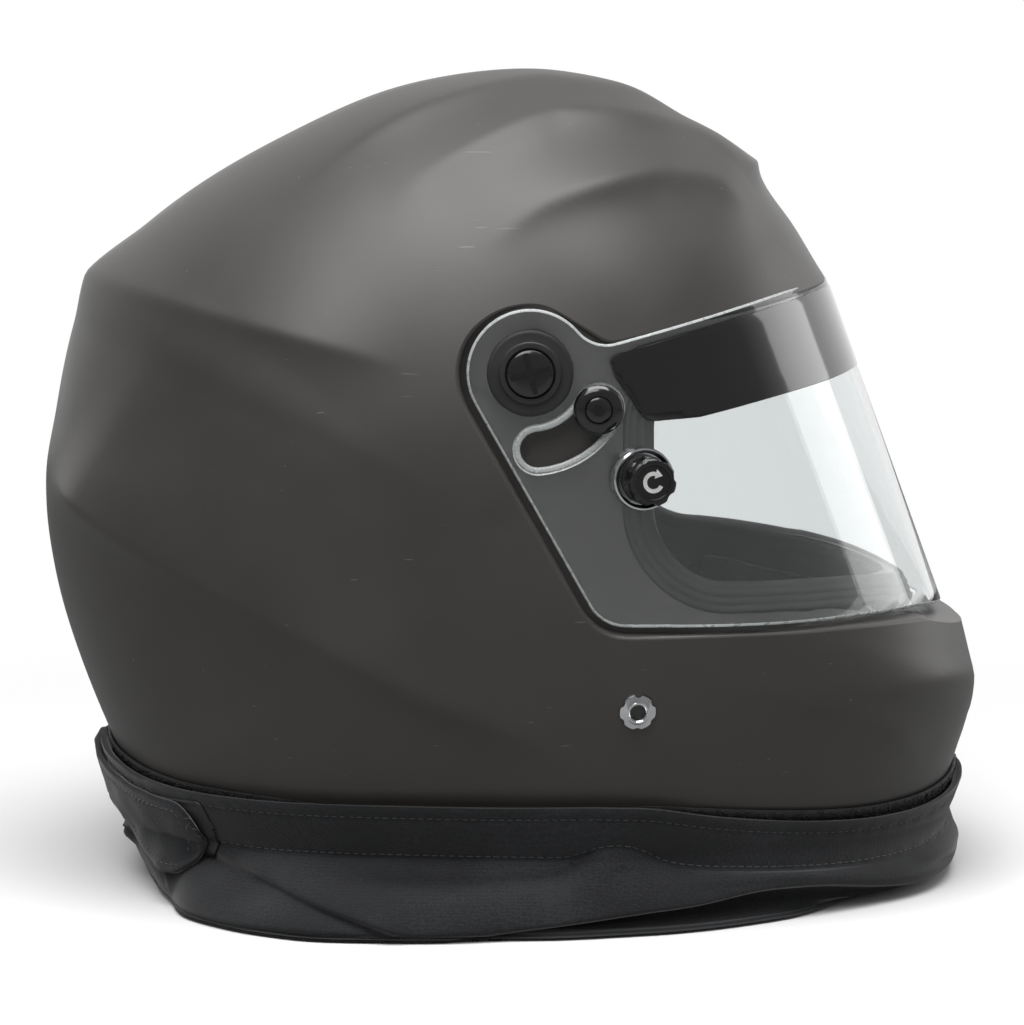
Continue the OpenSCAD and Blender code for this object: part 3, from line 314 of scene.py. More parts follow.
class Bend:
    """A bent sheet: u runs forward along it from the pivot to the middle, t up its slope."""

    def __init__(self, half, reach):
        self.half, self.reach = half, reach
        self.tight, self.wide = bend_radii(half, reach)
        self.turn = EAR_FLAT + self.tight * np.radians(BEND)
        self.middle = self.turn + self.wide * np.radians(90 - BEND)

    def angle(self, u):
        u = self.middle - np.abs(self.middle - u)
        return np.where(u < EAR_FLAT, 0, np.where(u < self.turn, (u - EAR_FLAT) / self.tight,
            np.radians(BEND) + (u - self.turn) / self.wide))

    def plan(self, u, out=0.0):
        """s and y at u, moved out square to the sheet. Past the middle it is the left side."""
        left = np.where(u > self.middle, 1.0, -1.0)
        v = self.middle - np.abs(self.middle - u)
        q = self.angle(u)
        s = np.where(v < EAR_FLAT, v, np.where(v < self.turn, EAR_FLAT + self.tight * np.sin(q),
            self.reach - self.wide + self.wide * np.sin(q)))
        y = np.where(v < EAR_FLAT, self.half, np.where(v < self.turn,
            self.half - self.tight + self.tight * np.cos(q), self.wide * np.cos(q)))
        return s + out * np.sin(q), left * (y + out * np.cos(q))

    def place(self, u, t, out=0.0):
        s, y = self.plan(np.asarray(u, float), out)
        return np.stack([PIVOT[0] + s * ALONG[0] - t * ALONG[1], y, PIVOT[1] + s * ALONG[1] + t * ALONG[0]], 1)

    def unroll(self, side):
        """u and t of points of the right side's view, given from the pivot."""
        s, t = side @ ALONG, side @ np.array([-ALONG[1], ALONG[0]])
        q1 = np.arcsin(np.clip((s - EAR_FLAT) / self.tight, 0, 1))
        q2 = np.arcsin(np.clip((s - self.reach + self.wide) / self.wide, -1, 1))
        u = np.where(s < EAR_FLAT, s, np.where(q1 < np.radians(BEND), EAR_FLAT + self.tight * q1,
            self.turn + self.wide * (q2 - np.radians(BEND))))
        return np.stack([u, t], 1)

    def solid(self, name, far=400):
        u = np.concatenate([[-far], np.linspace(EAR_FLAT, self.turn, 24),
            np.linspace(self.turn, self.middle, 40)[1:]])
        u = np.concatenate([u, 2 * self.middle - u[-2::-1]])
        ends = [self.place(u, np.full(len(u), t)) for t in (-far, far)]
        points, faces = loft(ends, ("flat", "flat"))
        return new_piece(name, points, faces)


outer_bend = Bend(VISOR_HALF, VISOR_REACH)
print("visor bends:", round(outer_bend.tight, 1), round(outer_bend.wide, 1), "mm,",
    round(2 * outer_bend.middle), "mm along")

# %% [markdown]
# Outlines in the side view, measured from the pivot: the recess, the visor and the eyeport. Each can
# be grown by a margin, so that the gap round the visor and the width of the seal are set once.

# %% Outlines in the side view
EAR_R, CORNER_R, DROP, REAR_LEAN, TOP_RISE, TOP_BASE = 21.0, 14.0, 84.2, 60.5, 14.8, 2.4
MARGIN = 2.4


def arc(c, r, start, end, steps):
    a = np.radians(np.linspace(start, end, steps + 1))
    return np.stack([c[0] + r * np.cos(a), c[1] + r * np.sin(a)], 1)


def top_line(x, grow):
    return TOP_BASE + grow / np.cos(np.radians(TOP_RISE)) + x * np.tan(np.radians(TOP_RISE))


def lower_edge(grow):
    r, side, lean = CORNER_R + grow, EAR_R - CORNER_R, np.radians(REAR_LEAN)
    c = [(DROP - CORNER_R - side * np.cos(lean)) / np.tan(lean) - side * np.sin(lean), CORNER_R - DROP]
    front = through([[c[0] + 6, -DROP - grow], [88, -DROP - grow], [112, -DROP - grow],
        [136, -DROP - 1 - grow], [148, -DROP - 3.6 - grow], [170, -DROP - 10 - grow]])
    return np.vstack([arc(c, r, 270 - REAR_LEAN, 270, 16), front])


def recess_outline(grow):
    top = through([[210, 40], [150, top_line(146, 0) - 6], [112, top_line(112, 0) - 4],
        [80, top_line(80, 0) - 3], [50, top_line(50, 0) - 1.6], [26, top_line(26, 0) - 0.6]])
    a = np.linspace(70, 270 - REAR_LEAN, 31)
    r = EAR_R + 0.6 + (grow - 0.6) * rise((a - 95) / 75)
    ear = np.stack([r * np.cos(np.radians(a)), r * np.sin(np.radians(a))], 1)
    return np.vstack([lower_edge(grow), [[210, -DROP - 22 - grow]], top, ear[1:]])


def visor_outline():
    k, f = np.tan(np.radians(TOP_RISE)), 12.0
    c, reach = TOP_BASE + f / np.cos(np.radians(TOP_RISE)), EAR_R + f
    x = (-c * k + np.sqrt((1 + k**2) * reach**2 - c**2)) / (1 + k**2)
    z = c + k * x
    a = np.degrees(np.arctan2(z, x))
    return np.vstack([lower_edge(0), [[170, 32], [118, top_line(100, 0) + 1.4], [103, top_line(103, 0) - 1]],
        [[93, top_line(93, 0)]], arc([x, z], f, 270 + TOP_RISE, 180 + a, 14),
        arc([0, 0], EAR_R, a + 4, 270 - REAR_LEAN, 30)])


PORT_REAR, PORT_DROP, PORT_CORNER, PORT_TOP = 39.0, 72.0, 28.0, 15.0


def port_outline(grow):
    front = through([[PORT_REAR + PORT_CORNER + 4, -PORT_DROP - grow], [90, -PORT_DROP - 0.8 - grow],
        [112, -PORT_DROP - 2.4 - grow], [130, -PORT_DROP - 5.4 - grow], [150, -PORT_DROP - 12 - grow],
        [210, -PORT_DROP - 30 - grow]])
    return np.vstack([arc([PORT_REAR + PORT_CORNER, PORT_CORNER - PORT_DROP], PORT_CORNER + grow, 180, 270, 18),
        front, [[210, 30 + grow], [109, 8.7 + grow]],
        arc([PORT_REAR + PORT_TOP, -3 - PORT_TOP], PORT_TOP + grow, 100, 180, 10)])


def prism(name, outline, far=400):
    """A solid cut square to the side view, right through the helmet."""
    side = [np.stack([outline[:, 0] + PIVOT[0], np.full(len(outline), y), outline[:, 1] + PIVOT[1]], 1)
        for y in (-far, far)]
    points, faces = loft(side, ("flat", "flat"))
    return new_piece(name, points, faces)


def spaced(points, step, closed=False):
    """The same line with its points at even distances."""
    p = np.vstack([points, points[:1]]) if closed else np.asarray(points, float)
    d = np.concatenate([[0], np.cumsum(np.linalg.norm(np.diff(p, axis=0), axis=1))])
    n = max(3, int(round(d[-1] / step)))
    at = np.linspace(0, d[-1], n + 1)
    out = np.stack([np.interp(at, d, p[:, k]) for k in range(p.shape[1])], 1)
    return out[:-1] if closed else out


# %% [markdown]
# The edge of the real recess is rolled over, which draws a thin bright line all round it. A bevel
# after the cut would fail on such a long curved edge, so the rounding is in the cutter instead: the
# edge is found in 3D on the skin, and the cutter is a stack of loops that leaves a quarter round.

# %% The recess edge in 3D
def side_share(x, z, inset=0.0):
    """How far out points of the side view lie, measured from the middle; 1 is the silhouette."""
    return np.hypot(x, z) / (radius_at(np.degrees(np.arctan2(z, x))) - inset)


def oval(d, inset=0.0):
    """1 on the plain skin moved in by inset, less inside it; points are measured from the middle."""
    return side_share(d[:, 0], d[:, 2], inset) ** OVAL + (np.abs(d[:, 1]) / (HALF_W - inset)) ** OVAL


def half_width(x, z):
    """How far out to the side the plain skin stands at a point of the side view."""
    return HALF_W * (1 - side_share(x - MID[0], z - MID[2]) ** OVAL) ** (1 / OVAL)


def outside(q):
    """Positive outside the lifted skin, in mm, for points in the helmet's frame."""
    d = q - MID
    size = np.linalg.norm(d, axis=1)
    k = oval(d) ** (-1 / OVAL)
    return size - k * size - lift(d[:, [0, 2]] * k[:, None], d[:, 1] * k)


def on_skin(side):
    """The right side's point of the skin at each point of the side view, or nan past its outline."""
    low, high = np.zeros(len(side)), np.full(len(side), 140.0)
    full = lambda y: np.stack([side[:, 0], -y, side[:, 1]], 1)
    off = outside(full(low)) > 0
    for _ in range(26):
        mid = (low + high) / 2
        out = outside(full(mid)) > 0
        low, high = np.where(out, low, mid), np.where(out, mid, high)
    p = full(low)
    p[off] = np.nan
    return p


def skin_normal(p):
    """The direction square to the lifted skin."""
    h = 0.3
    g = np.stack([outside(p + h * e) - outside(p - h * e) for e in np.eye(3)], 1)
    return g / np.linalg.norm(g, axis=1)[:, None]


def edge_on_skin(outline, step):
    """A closed loop in 3D where a cut square to the side view meets the skin, both sides."""
    side = spaced(outline, 0.2) + PIVOT
    p = on_skin(side)
    good = np.flatnonzero(~np.isnan(p[:, 0]))
    first, last = p[good[0]].copy(), p[good[-1]].copy()
    half = np.vstack([first * [1, 0, 1], p[good], last * [1, 0, 1]])
    half = spaced(half, step)
    return np.vstack([half, half[-2:0:-1] * [1, -1, 1]])


def softened(loop, times):
    """A closed loop with its small corners smoothed away."""
    for _ in range(times):
        loop = 0.5 * loop + 0.25 * (np.roll(loop, 1, 0) + np.roll(loop, -1, 0))
    return loop


outline = recess_outline(MARGIN)
start = int(np.argmax(outline[:, 0] >= 209))
edge = softened(edge_on_skin(np.vstack([outline[start:], outline[:start]]), 1.5), 6)
print("recess edge:", len(edge), "points,", round(sum(np.linalg.norm(edge - np.roll(edge, 1, 0), axis=1))),
    "mm")

# %% The cutter of the recess, with its rolled edge
ROLL = 1.7
normal = skin_normal(edge)
drawn = spaced(outline, 0.5) + PIVOT
near = np.array([np.argmin(np.hypot(*(drawn - p).T)) for p in edge[:, [0, 2]]])
run = drawn[np.minimum(near + 4, len(drawn) - 1)] - drawn[np.maximum(near - 4, 0)]
away = softened(np.stack([-run[:, 1], 0 * near, run[:, 0]], 1), 4)
away /= np.linalg.norm(away, axis=1)[:, None]
centre = np.array([PIVOT[0] + 60, 0, PIVOT[1] - 30])
if np.sum(away * (edge - centre)) < 0:
    away = -away
down = -normal + np.sum(normal * away, axis=1)[:, None] * away
down /= np.linalg.norm(down, axis=1)[:, None]
flat_out = away - np.sum(away * normal, axis=1)[:, None] * normal
flat_out /= np.linalg.norm(flat_out, axis=1)[:, None]
quarter = np.radians([14, 30, 45, 60, 75, 90])
rolled = [edge + flat_out * ROLL * (1 - np.sin(q)) + down * ROLL * (1 - np.cos(q)) for q in quarter]
loops = [MID + (rolled[0] + normal * 30 - MID) * 3, rolled[0] + normal * 30, *rolled, edge + down * 38]
points, faces = loft(loops, ([2000, 0, 160], [0, 0, 160]))
recess = new_piece("recess", points, faces)
work = bmesh.new()
work.from_mesh(recess.data)
if work.calc_volume(signed=True) < 0:
    recess.data.flip_normals()
work.free()
recess = carve(recess, Bend(RECESS_HALF, RECESS_REACH).solid("floor"))
print("recess cutter:", len(recess.data.polygons), "faces")

# %% Cut the shell
cavity = skin("cavity", 96, 22, inset=WALL)
pan = carve(prism("pan", spaced(recess_outline(WALL + MARGIN), 4, True)),
    Bend(PAN_HALF, PAN_REACH).solid("pan_floor"))
cavity = carve(cavity, pan)
SEAL_W, SEAT, RIM = 8.3, 0.3, 24.0
rebate = carve(prism("rebate", spaced(port_outline(SEAL_W + SEAT), 2, True)),
    Bend(REBATE_HALF, REBATE_REACH).solid("rebate_floor"))
port = prism("port", spaced(port_outline(0), 2, True))
plate = np.array([[-300, -300], [300, -300], [300, 300], [-300, 300]])
below = new_piece("below", *loft([np.column_stack([plate, np.full(4, z)]) for z in (-300, RIM)],
    ("flat", "flat")))
shell = carve(shell, cavity, recess, rebate, port, below)
finish_mesh(shell.data, 38, recalc=False)
print("shell:", len(shell.data.polygons), "faces")

# %% [markdown]
# ## Finishes
# Each finish starts from the real material and how its surface was made. Patterns read the
# object's own coordinates, in metres, so a grain of 1 mm has a scale of 1000. One function adds
# every node.

# %% Colour, nodes and a new finish
def linear(code):
    """An sRGB hex colour as Blender's linear one."""
    c = np.array([int(code[i:i + 2], 16) / 255 for i in (1, 3, 5)])
    return (*np.where(c <= 0.04045, c / 12.92, ((c + 0.055) / 1.055) ** 2.4), 1.0)


def node(tree, kind, links=(), ramp=(), values=(), **settings):
    """Adds a node; links and values go to sockets by name or number, ramp holds places and colours."""
    made = tree.nodes.new(kind)
    for key, value in settings.items():
        setattr(made, key, value)
    for key, value in dict(values).items():
        made.inputs[key].default_value = value
    for key, source in dict(links).items():
        tree.links.new(source, made.inputs[key])
    if ramp:
        made.color_ramp.elements[0].position, made.color_ramp.elements[-1].position = ramp[0][0], ramp[-1][0]
        for at, _ in ramp[1:-1]:
            made.color_ramp.elements.new(at)
        for mark, (_, colour) in zip(made.color_ramp.elements, ramp):
            mark.color = linear(colour)
    return made


def finish(name, colour, roughness, slot, **sockets):
    """A new material for a slot: its tree, its shader's sockets and its coordinates."""
    made = bpy.data.materials.new(name)
    made.use_nodes = True
    shader = made.node_tree.nodes["Principled BSDF"]
    for key, value in {"Base Color": linear(colour), "Roughness": roughness,
        **{k.replace("_", " "): v for k, v in sockets.items()}}.items():
        shader.inputs[key].default_value = value
    place = node(made.node_tree, "ShaderNodeTexCoord").outputs["Object"]
    finishes[slot] = made
    return made.node_tree, shader.inputs, place


def grained(tree, shader, place, size, dark, light, rough, depth, bump_size):
    """Uneven colour and roughness from one noise, and a bump from a finer one; sizes in mm."""
    broad = node(tree, "ShaderNodeTexNoise", {"Vector": place}, values={"Scale": 1000 / size, "Detail": 3.0})
    tone = node(tree, "ShaderNodeValToRGB", {"Fac": broad.outputs["Fac"]}, ramp=((0.3, dark), (0.7, light)))
    tree.links.new(tone.outputs["Color"], shader["Base Color"])
    spread = node(tree, "ShaderNodeMapRange", {"Value": broad.outputs["Fac"]},
        values={"From Min": 0.3, "From Max": 0.7, "To Min": rough[0], "To Max": rough[1]})
    tree.links.new(spread.outputs["Result"], shader["Roughness"])
    fine = node(tree, "ShaderNodeTexNoise", {"Vector": place},
        values={"Scale": 1000 / bump_size, "Detail": 2.0})
    bump = node(tree, "ShaderNodeBump", {"Height": fine.outputs["Fac"]},
        values={"Strength": 0.6, "Distance": depth * MM})
    tree.links.new(bump.outputs["Normal"], shader["Normal"])
    return tone, spread, bump


finishes = {}

# %% Satin paint of the shell
# Laminate with a sprayed satin paint: soft wide highlights, a slight ripple under them, and thin
# pale scratches where it has been set down or bumped.
tree, shader, place = finish("satin paint on laminate", "#383634", 0.42, "shell_paint", Specular_IOR_Level=0.5)
tone, spread, bump = grained(tree, shader, place, 46, "#353331", "#3b3937", (0.38, 0.45), 0.03, bump_size=2.4)
lines = []
for turn, stretch in (((0, 0.5, 0.3), (16, 700, 700)), ((0, 2.0, 0.2), (22, 900, 900))):
    laid = node(tree, "ShaderNodeMapping", {"Vector": place}, values={"Rotation": turn, "Scale": stretch})
    thread = node(tree, "ShaderNodeTexNoise", {"Vector": laid.outputs["Vector"]},
        values={"Scale": 1.0, "Detail": 1.0})
    lines.append(node(tree, "ShaderNodeMapRange", {"Value": thread.outputs["Fac"]},
        values={"From Min": 0.785, "From Max": 0.82, "To Min": 0.0, "To Max": 0.3}))
both = node(tree, "ShaderNodeMath", {0: lines[0].outputs["Result"], 1: lines[1].outputs["Result"]},
    operation="MAXIMUM")
FIRST, SECOND, MIXED = 6, 7, 2  # the colour sockets of a Mix node
scratched = node(tree, "ShaderNodeMix", {"Factor": both.outputs[0]}, data_type="RGBA")
tree.links.new(tone.outputs["Color"], scratched.inputs[FIRST])
scratched.inputs[SECOND].default_value = linear("#8b8985")
tree.links.new(scratched.outputs[MIXED], shader["Base Color"])

# %% Clear visor
# Polycarbonate, 3 mm, moulded and coated: clear, with a faint uneven haze from wiping. Its IOR is a
# little under the usual 1.58, which thins the veil over the inside. Light passes it on its way in.
tree, shader, place = finish("clear polycarbonate", "#eef1f1", 0.02, "visor_clear", IOR=1.5)
shader["Transmission Weight"].default_value = 1.0
wiped = node(tree, "ShaderNodeMapping", {"Vector": place},
    values={"Rotation": (0, 0.9, 0), "Scale": (60, 60, 260)})
haze = node(tree, "ShaderNodeTexNoise", {"Vector": wiped.outputs["Vector"]},
    values={"Scale": 1.0, "Detail": 4.0})
veil = node(tree, "ShaderNodeMapRange", {"Value": haze.outputs["Fac"]},
    values={"From Min": 0.42, "From Max": 0.72, "To Min": 0.0, "To Max": 0.035})
tree.links.new(veil.outputs["Result"], shader["Roughness"])
shadow = node(tree, "ShaderNodeLightPath").outputs["Is Shadow Ray"]
through_air = node(tree, "ShaderNodeBsdfTransparent", values={"Color": linear("#b4b8b8")})
end = tree.nodes["Material Output"]
mixed = node(tree, "ShaderNodeMixShader", {0: shadow, 1: tree.nodes["Principled BSDF"].outputs["BSDF"],
    2: through_air.outputs["BSDF"]})
tree.links.new(mixed.outputs["Shader"], end.inputs["Surface"])

# The visor's moulded edges are rounded and finely frosted, so that they catch the light.
tree, shader, place = finish("frosted polycarbonate edge", "#d9dddd", 0.3, "visor_edge", IOR=1.5,
    Transmission_Weight=0.45)
wear = node(tree, "ShaderNodeTexNoise", {"Vector": place}, values={"Scale": 1000 / 3.0, "Detail": 3.0})
spread = node(tree, "ShaderNodeMapRange", {"Value": wear.outputs["Fac"]},
    values={"From Min": 0.3, "From Max": 0.7, "To Min": 0.12, "To Max": 0.5})
tree.links.new(spread.outputs["Result"], shader["Roughness"])

# %% Plastics, rubber and metals
# Each has its name, colour, roughness, slot and shader settings, and then the grain: its size in mm,
# its two colours, its range of roughness, and the depth and size of its bump in mm.
plain_finishes = [
    # Gloss film on the visor's top: black, mirror-like, a little wavy
    ("gloss black film", "#0c0c0d", 0.1, "strip_film", dict(Coat_Weight=0.6, Coat_Roughness=0.04),
        (60, "#0b0b0c", "#101011", (0.08, 0.14), 0.05, 14)),
    # Matt moulded nylon: fine spark-eroded grain
    ("moulded black nylon", "#1c1c1d", 0.55, "black_nylon", {},
        (9, "#191919", "#232323", (0.48, 0.62), 0.05, 0.7)),
    # Powder-coated screw heads: gloss black, with a soft ripple
    ("gloss black enamel", "#0e0e0f", 0.16, "gloss_black", dict(Coat_Weight=0.5, Coat_Roughness=0.08),
        (12, "#0c0c0d", "#141415", (0.13, 0.22), 0.03, 2)),
    # Rubber of the seal and the trim: matt, dusty in its grooves
    ("black seal rubber", "#262627", 0.62, "seal_rubber", dict(Specular_IOR_Level=0.35),
        (14, "#202021", "#2e2e2e", (0.52, 0.7), 0.05, 0.8)),
    # Knobs: moulded nylon, shinier than the washers, as hands have polished them
    ("black knob nylon", "#131314", 0.24, "knob_black", {}, (6, "#101011", "#19191a", (0.18, 0.3), 0.03, 0.6)),
    # Chrome plating on brass: bright, nearly a mirror, with faint polishing marks
    ("chrome plating", "#c9cbcd", 0.1, "bright_metal", dict(Metallic=1.0),
        (5, "#bfc1c3", "#d3d5d7", (0.07, 0.17), 0.01, 0.5)),
    # Turned brass inserts: warm, with turning marks
    ("turned brass", "#b3924f", 0.3, "brass", dict(Metallic=1.0),
        (4, "#a68544", "#bd9d5c", (0.24, 0.36), 0.02, 0.3)),
    # Zinc-plated steel: pale grey, satin
    ("zinc-plated steel", "#a9abad", 0.36, "steel", dict(Metallic=1.0),
        (6, "#9b9da0", "#b5b7b9", (0.3, 0.44), 0.02, 0.5)),
    # Loops and hooks of the tape: bristling black nylon
    ("black hook tape", "#1b1b1c", 0.5, "hook_pile", {}, (3, "#171718", "#272729", (0.4, 0.6), 0.2, 0.7)),
    # Sewing thread: dark grey polyester, a little shine
    ("dark grey sewing thread", "#3a3b3e", 0.6, "thread", dict(Sheen_Weight=0.2),
        (2, "#323336", "#45464a", (0.5, 0.7), 0.03, 0.3)),
    # Pad-printed mark on the knobs: light grey paint
    ("light grey marking paint", "#c9c9c6", 0.5, "mark", {}, (2, "#bdbdba", "#d2d2cf", (0.45, 0.6), 0.01, 0.4)),
]
for name, colour, roughness, slot, settings, (size, dark, light, rough, depth, bump_size) in plain_finishes:
    grained(*finish(name, colour, roughness, slot, **settings), size, dark, light, rough, depth,
        bump_size=bump_size)

# %% Foam and cloth
# Expanded polystyrene: dark grey beads of 3 mm, each a soft cell. Its colour is lighter in each bead's middle
# and darker towards its rim, where the bump sinks between beads: painted shade.
tree, shader, place = finish("expanded bead foam", "#37383a", 0.85, "liner_foam", Specular_IOR_Level=0.25)
cells = node(tree, "ShaderNodeTexVoronoi", {"Vector": place}, values={"Scale": 1000 / 3.2}, feature="F1")
# painted shade: the cell distance that sinks the bump also darkens the colour towards each bead's rim
tone = node(tree, "ShaderNodeValToRGB", {"Fac": cells.outputs["Distance"]},
    ramp=((0.1, "#424346"), (0.75, "#26272a")))
tree.links.new(tone.outputs["Color"], shader["Base Color"])
bump = node(tree, "ShaderNodeBump", {"Height": cells.outputs["Distance"]},
    values={"Strength": 0.7, "Distance": 0.25 * MM}, invert=True)
tree.links.new(bump.outputs["Normal"], shader["Normal"])


def knitted(name, slot, size, dark, light, rough, deep, sheen):
    """Stretch knit: loops of a real size in mm, a soft sheen, and patches that are rubbed; its colour is also
    darkened in the hollows between the loops, as painted shade.
    """
    tree, shader, place = finish(name, dark, rough, slot, Sheen_Weight=sheen, Sheen_Roughness=0.5,
        Specular_IOR_Level=0.2)
    loops = node(tree, "ShaderNodeTexVoronoi", {"Vector": place},
        values={"Scale": 1000 / size, "Randomness": 0.45}, feature="SMOOTH_F1")
    rubbed = node(tree, "ShaderNodeTexNoise", {"Vector": place}, values={"Scale": 1000 / 34, "Detail": 4.0})
    # painted shade: the loops' distance, which also sinks the bump, is taken from the rubbed noise, so the
    # hollows between loops are darker
    mix = node(tree, "ShaderNodeMath", {0: rubbed.outputs["Fac"], 1: loops.outputs["Distance"]},
        operation="SUBTRACT")
    tone = node(tree, "ShaderNodeValToRGB", {"Fac": mix.outputs[0]}, ramp=((0.0, dark), (0.42, light)))
    tree.links.new(tone.outputs["Color"], shader["Base Color"])
    bump = node(tree, "ShaderNodeBump", {"Height": loops.outputs["Distance"]},
        values={"Strength": 0.8, "Distance": deep * MM}, invert=True)
    tree.links.new(bump.outputs["Normal"], shader["Normal"])
    return tree, shader, place


# The lining is a brushed knit, grey and matt; the chin pad's is darker and finer.
knitted("brushed lining knit", "lining_cloth", 1.5, "#4a4645", "#6c6664", 0.92, 0.3, 0.5)
knitted("dark lining knit", "chin_cloth", 1.3, "#1e1e1f", "#333334", 0.9, 0.25, 0.35)
# The skirt is a dense stretch knit with a faint rib: near black, greyed unevenly in rubbed patches, and darker
# in the hollows between its loops as painted shade.
knitted("dense stretch knit", "skirt_cloth", 0.9, "#191a1c", "#2a2b2e", 0.88, 0.14, 0.3)

# %% Webbing
# Webbing of the straps: flat polyester weave, 25 mm wide, with ribs of 1.6 mm across it. Its colour darkens
# where the weave's bump sinks, as painted shade between the ribs and cords.
tree, shader, place = finish("black polyester webbing", "#1d1d1f", 0.7, "webbing", Sheen_Weight=0.25)
uv = node(tree, "ShaderNodeUVMap", uv_map="weave")
ribs = node(tree, "ShaderNodeTexWave", {"Vector": uv.outputs["UV"]},
    values={"Scale": 1000 / 1.6 / 6.283, "Distortion": 0.6, "Detail": 1.0}, bands_direction="X")
cords = node(tree, "ShaderNodeTexWave", {"Vector": uv.outputs["UV"]},
    values={"Scale": 1000 / 1.1 / 6.283, "Distortion": 0.3}, bands_direction="Y")
weave = node(tree, "ShaderNodeMath", {0: ribs.outputs["Fac"], 1: cords.outputs["Fac"]}, operation="MULTIPLY")
# painted shade: the weave that raises the bump also lightens the colour, so its low places are darker
tone = node(tree, "ShaderNodeValToRGB", {"Fac": weave.outputs[0]}, ramp=((0.0, "#131314"), (1.0, "#2f2f32")))
tree.links.new(tone.outputs["Color"], shader["Base Color"])
bump = node(tree, "ShaderNodeBump", {"Height": weave.outputs[0]},
    values={"Strength": 0.8, "Distance": 0.35 * MM})
tree.links.new(bump.outputs["Normal"], shader["Normal"])
print("finishes:", len(finishes))

# %% [markdown]
# ## The visor
# The visor is moulded and bent from one clear polycarbonate sheet. Bent this way it can be drawn flat,
# with its holes, and rolled on to the bend: that keeps its thickness the same all over and gives
# every edge the same small rounding, which a cut through a bent solid wouldn't have.

# %% Draw on the unrolled sheet
def unrolled(outline, bend, step):
    """A side outline as a closed loop of u and t over both sides. It starts in front, above."""
    p = spaced(outline, 0.1, True)
    first = int(np.argmax(p[:, 0] * (p[:, 1] > -20)))
    p = np.roll(p, -first, 0)
    s = p @ ALONG
    keep = np.flatnonzero(s < bend.reach - 0.02)
    half = bend.unroll(p[keep])
    half = np.vstack([[bend.middle, half[0, 1]], half, [bend.middle, half[-1, 1]]])
    half = spaced(half, step)
    return np.vstack([half, half[-2:0:-1] * [-1, 1] + [2 * bend.middle, 0]])


def offset(loop, d):
    """A closed flat loop moved out by d, or in where d is negative."""
    run = np.roll(loop, -1, 0) - np.roll(loop, 1, 0)
    out = np.stack([run[:, 1], -run[:, 0]], 1) / np.linalg.norm(run, axis=1)[:, None]
    x, y = loop.T
    return loop + d * out * np.sign(np.sum(x * np.roll(y, -1) - np.roll(x, -1) * y))


def within(p, loop):
    """Whether each point is inside a closed loop."""
    inside = np.zeros(len(p), bool)
    for a, b in zip(loop, np.roll(loop, -1, 0)):
        crosses = (a[1] > p[:, 1]) != (b[1] > p[:, 1])
        x = a[0] + (p[:, 1] - a[1]) * (b[0] - a[0]) / (b[1] - a[1] if b[1] != a[1] else 1e-9)
        inside ^= crosses & (p[:, 0] < x)
    return inside


def filled(rim, holes, du, dt):
    """Triangles that fill a flat loop with holes, on an even net of points."""
    u = np.arange(rim[:, 0].min(), rim[:, 0].max(), du)
    t = np.arange(rim[:, 1].min(), rim[:, 1].max(), dt)
    net = np.stack([(u[:, None] + np.where(np.arange(len(t)) % 2, du / 2, 0)).ravel(),
        np.repeat(t[None], len(u), 0).ravel()], 1)
    keep = within(net, offset(rim, -0.8))
    for hole in holes:
        keep &= ~within(net, offset(hole, 0.8))
    loops = [rim, *holes]
    points, edges = [], []
    for loop in loops:
        n = len(points)
        points += list(loop)
        edges += [(n + i, n + (i + 1) % len(loop)) for i in range(len(loop))]
    points += list(net[keep])
    flat, _, faces, *_ = delaunay_2d_cdt([Vector(p) for p in points], edges, [], 0, 1e-6)
    flat = np.array([tuple(v) for v in flat])
    faces = np.array(faces)
    middle = flat[faces].mean(axis=1)
    good = within(middle, rim)
    for hole in holes:
        good &= ~within(middle, hole)
    return flat, faces[good]


def bent_sheet(name, bend, rim, edge, holes, du=3.2, dt=6.0, smooth=35):
    """A closed sheet. edge, and each hole's edge, list how far in from the loop and how far out of the
    bend each ring lies, from the outer face to the inner one."""
    points, faces = [], []
    for end in (0, -1):
        loops = [offset(rim, -edge[end][0])] + [offset(loop, how[end][0]) for loop, how in holes]
        flat, tris = filled(loops[0], loops[1:], du, dt)
        faces += [tuple(t + len(points)) for t in tris]
        points += list(bend.place(flat[:, 0], flat[:, 1], edge[end][1]))
    for loop, how, sign in [(rim, edge, -1)] + [(loop, how, 1) for loop, how in holes]:
        rings = [offset(loop, sign * d) for d, _ in how]
        ring, quads = loft([bend.place(r[:, 0], r[:, 1], h) for r, (_, h) in zip(rings, how)])
        faces += [tuple(np.array(q) + len(points)) for q in quads]
        points += list(ring)
    return new_piece(name, points, faces, smooth)


# %% Make the visor
def circle(c, r, n=64):
    return arc(c, r, 0, 360, n)[:-1]


GUIDE_ARM, GUIDE_ANGLE, TRAVEL, GUIDE_R = 25.4, 28.0, 55.0, 5.6
POST_AHEAD, POST_DROP, POST_LEAN = 36.1, 34.5, 13.0


def slot_outline():
    r, end, start = GUIDE_R + 0.35, -GUIDE_ANGLE - TRAVEL - 1.2, 1.2 - GUIDE_ANGLE
    tip = GUIDE_ARM * np.array([np.cos(np.radians(end)), np.sin(np.radians(end))])
    head = GUIDE_ARM * np.array([np.cos(np.radians(start)), np.sin(np.radians(start))])
    return np.vstack([arc([0, 0], GUIDE_ARM + r, start, end, 40)[:-1], arc(tip, r, end, end - 180, 20)[:-1],
        arc([0, 0], GUIDE_ARM - r, end, start, 40)[:-1], arc(head, r, start + 180, start, 20)[:-1]])


def on_sheet(side, bend):
    """Loops of a side outline on the unrolled sheet: the right one and the left one."""
    right = bend.unroll(side)
    return right, (right * [-1, 1] + [2 * bend.middle, 0])[::-1]


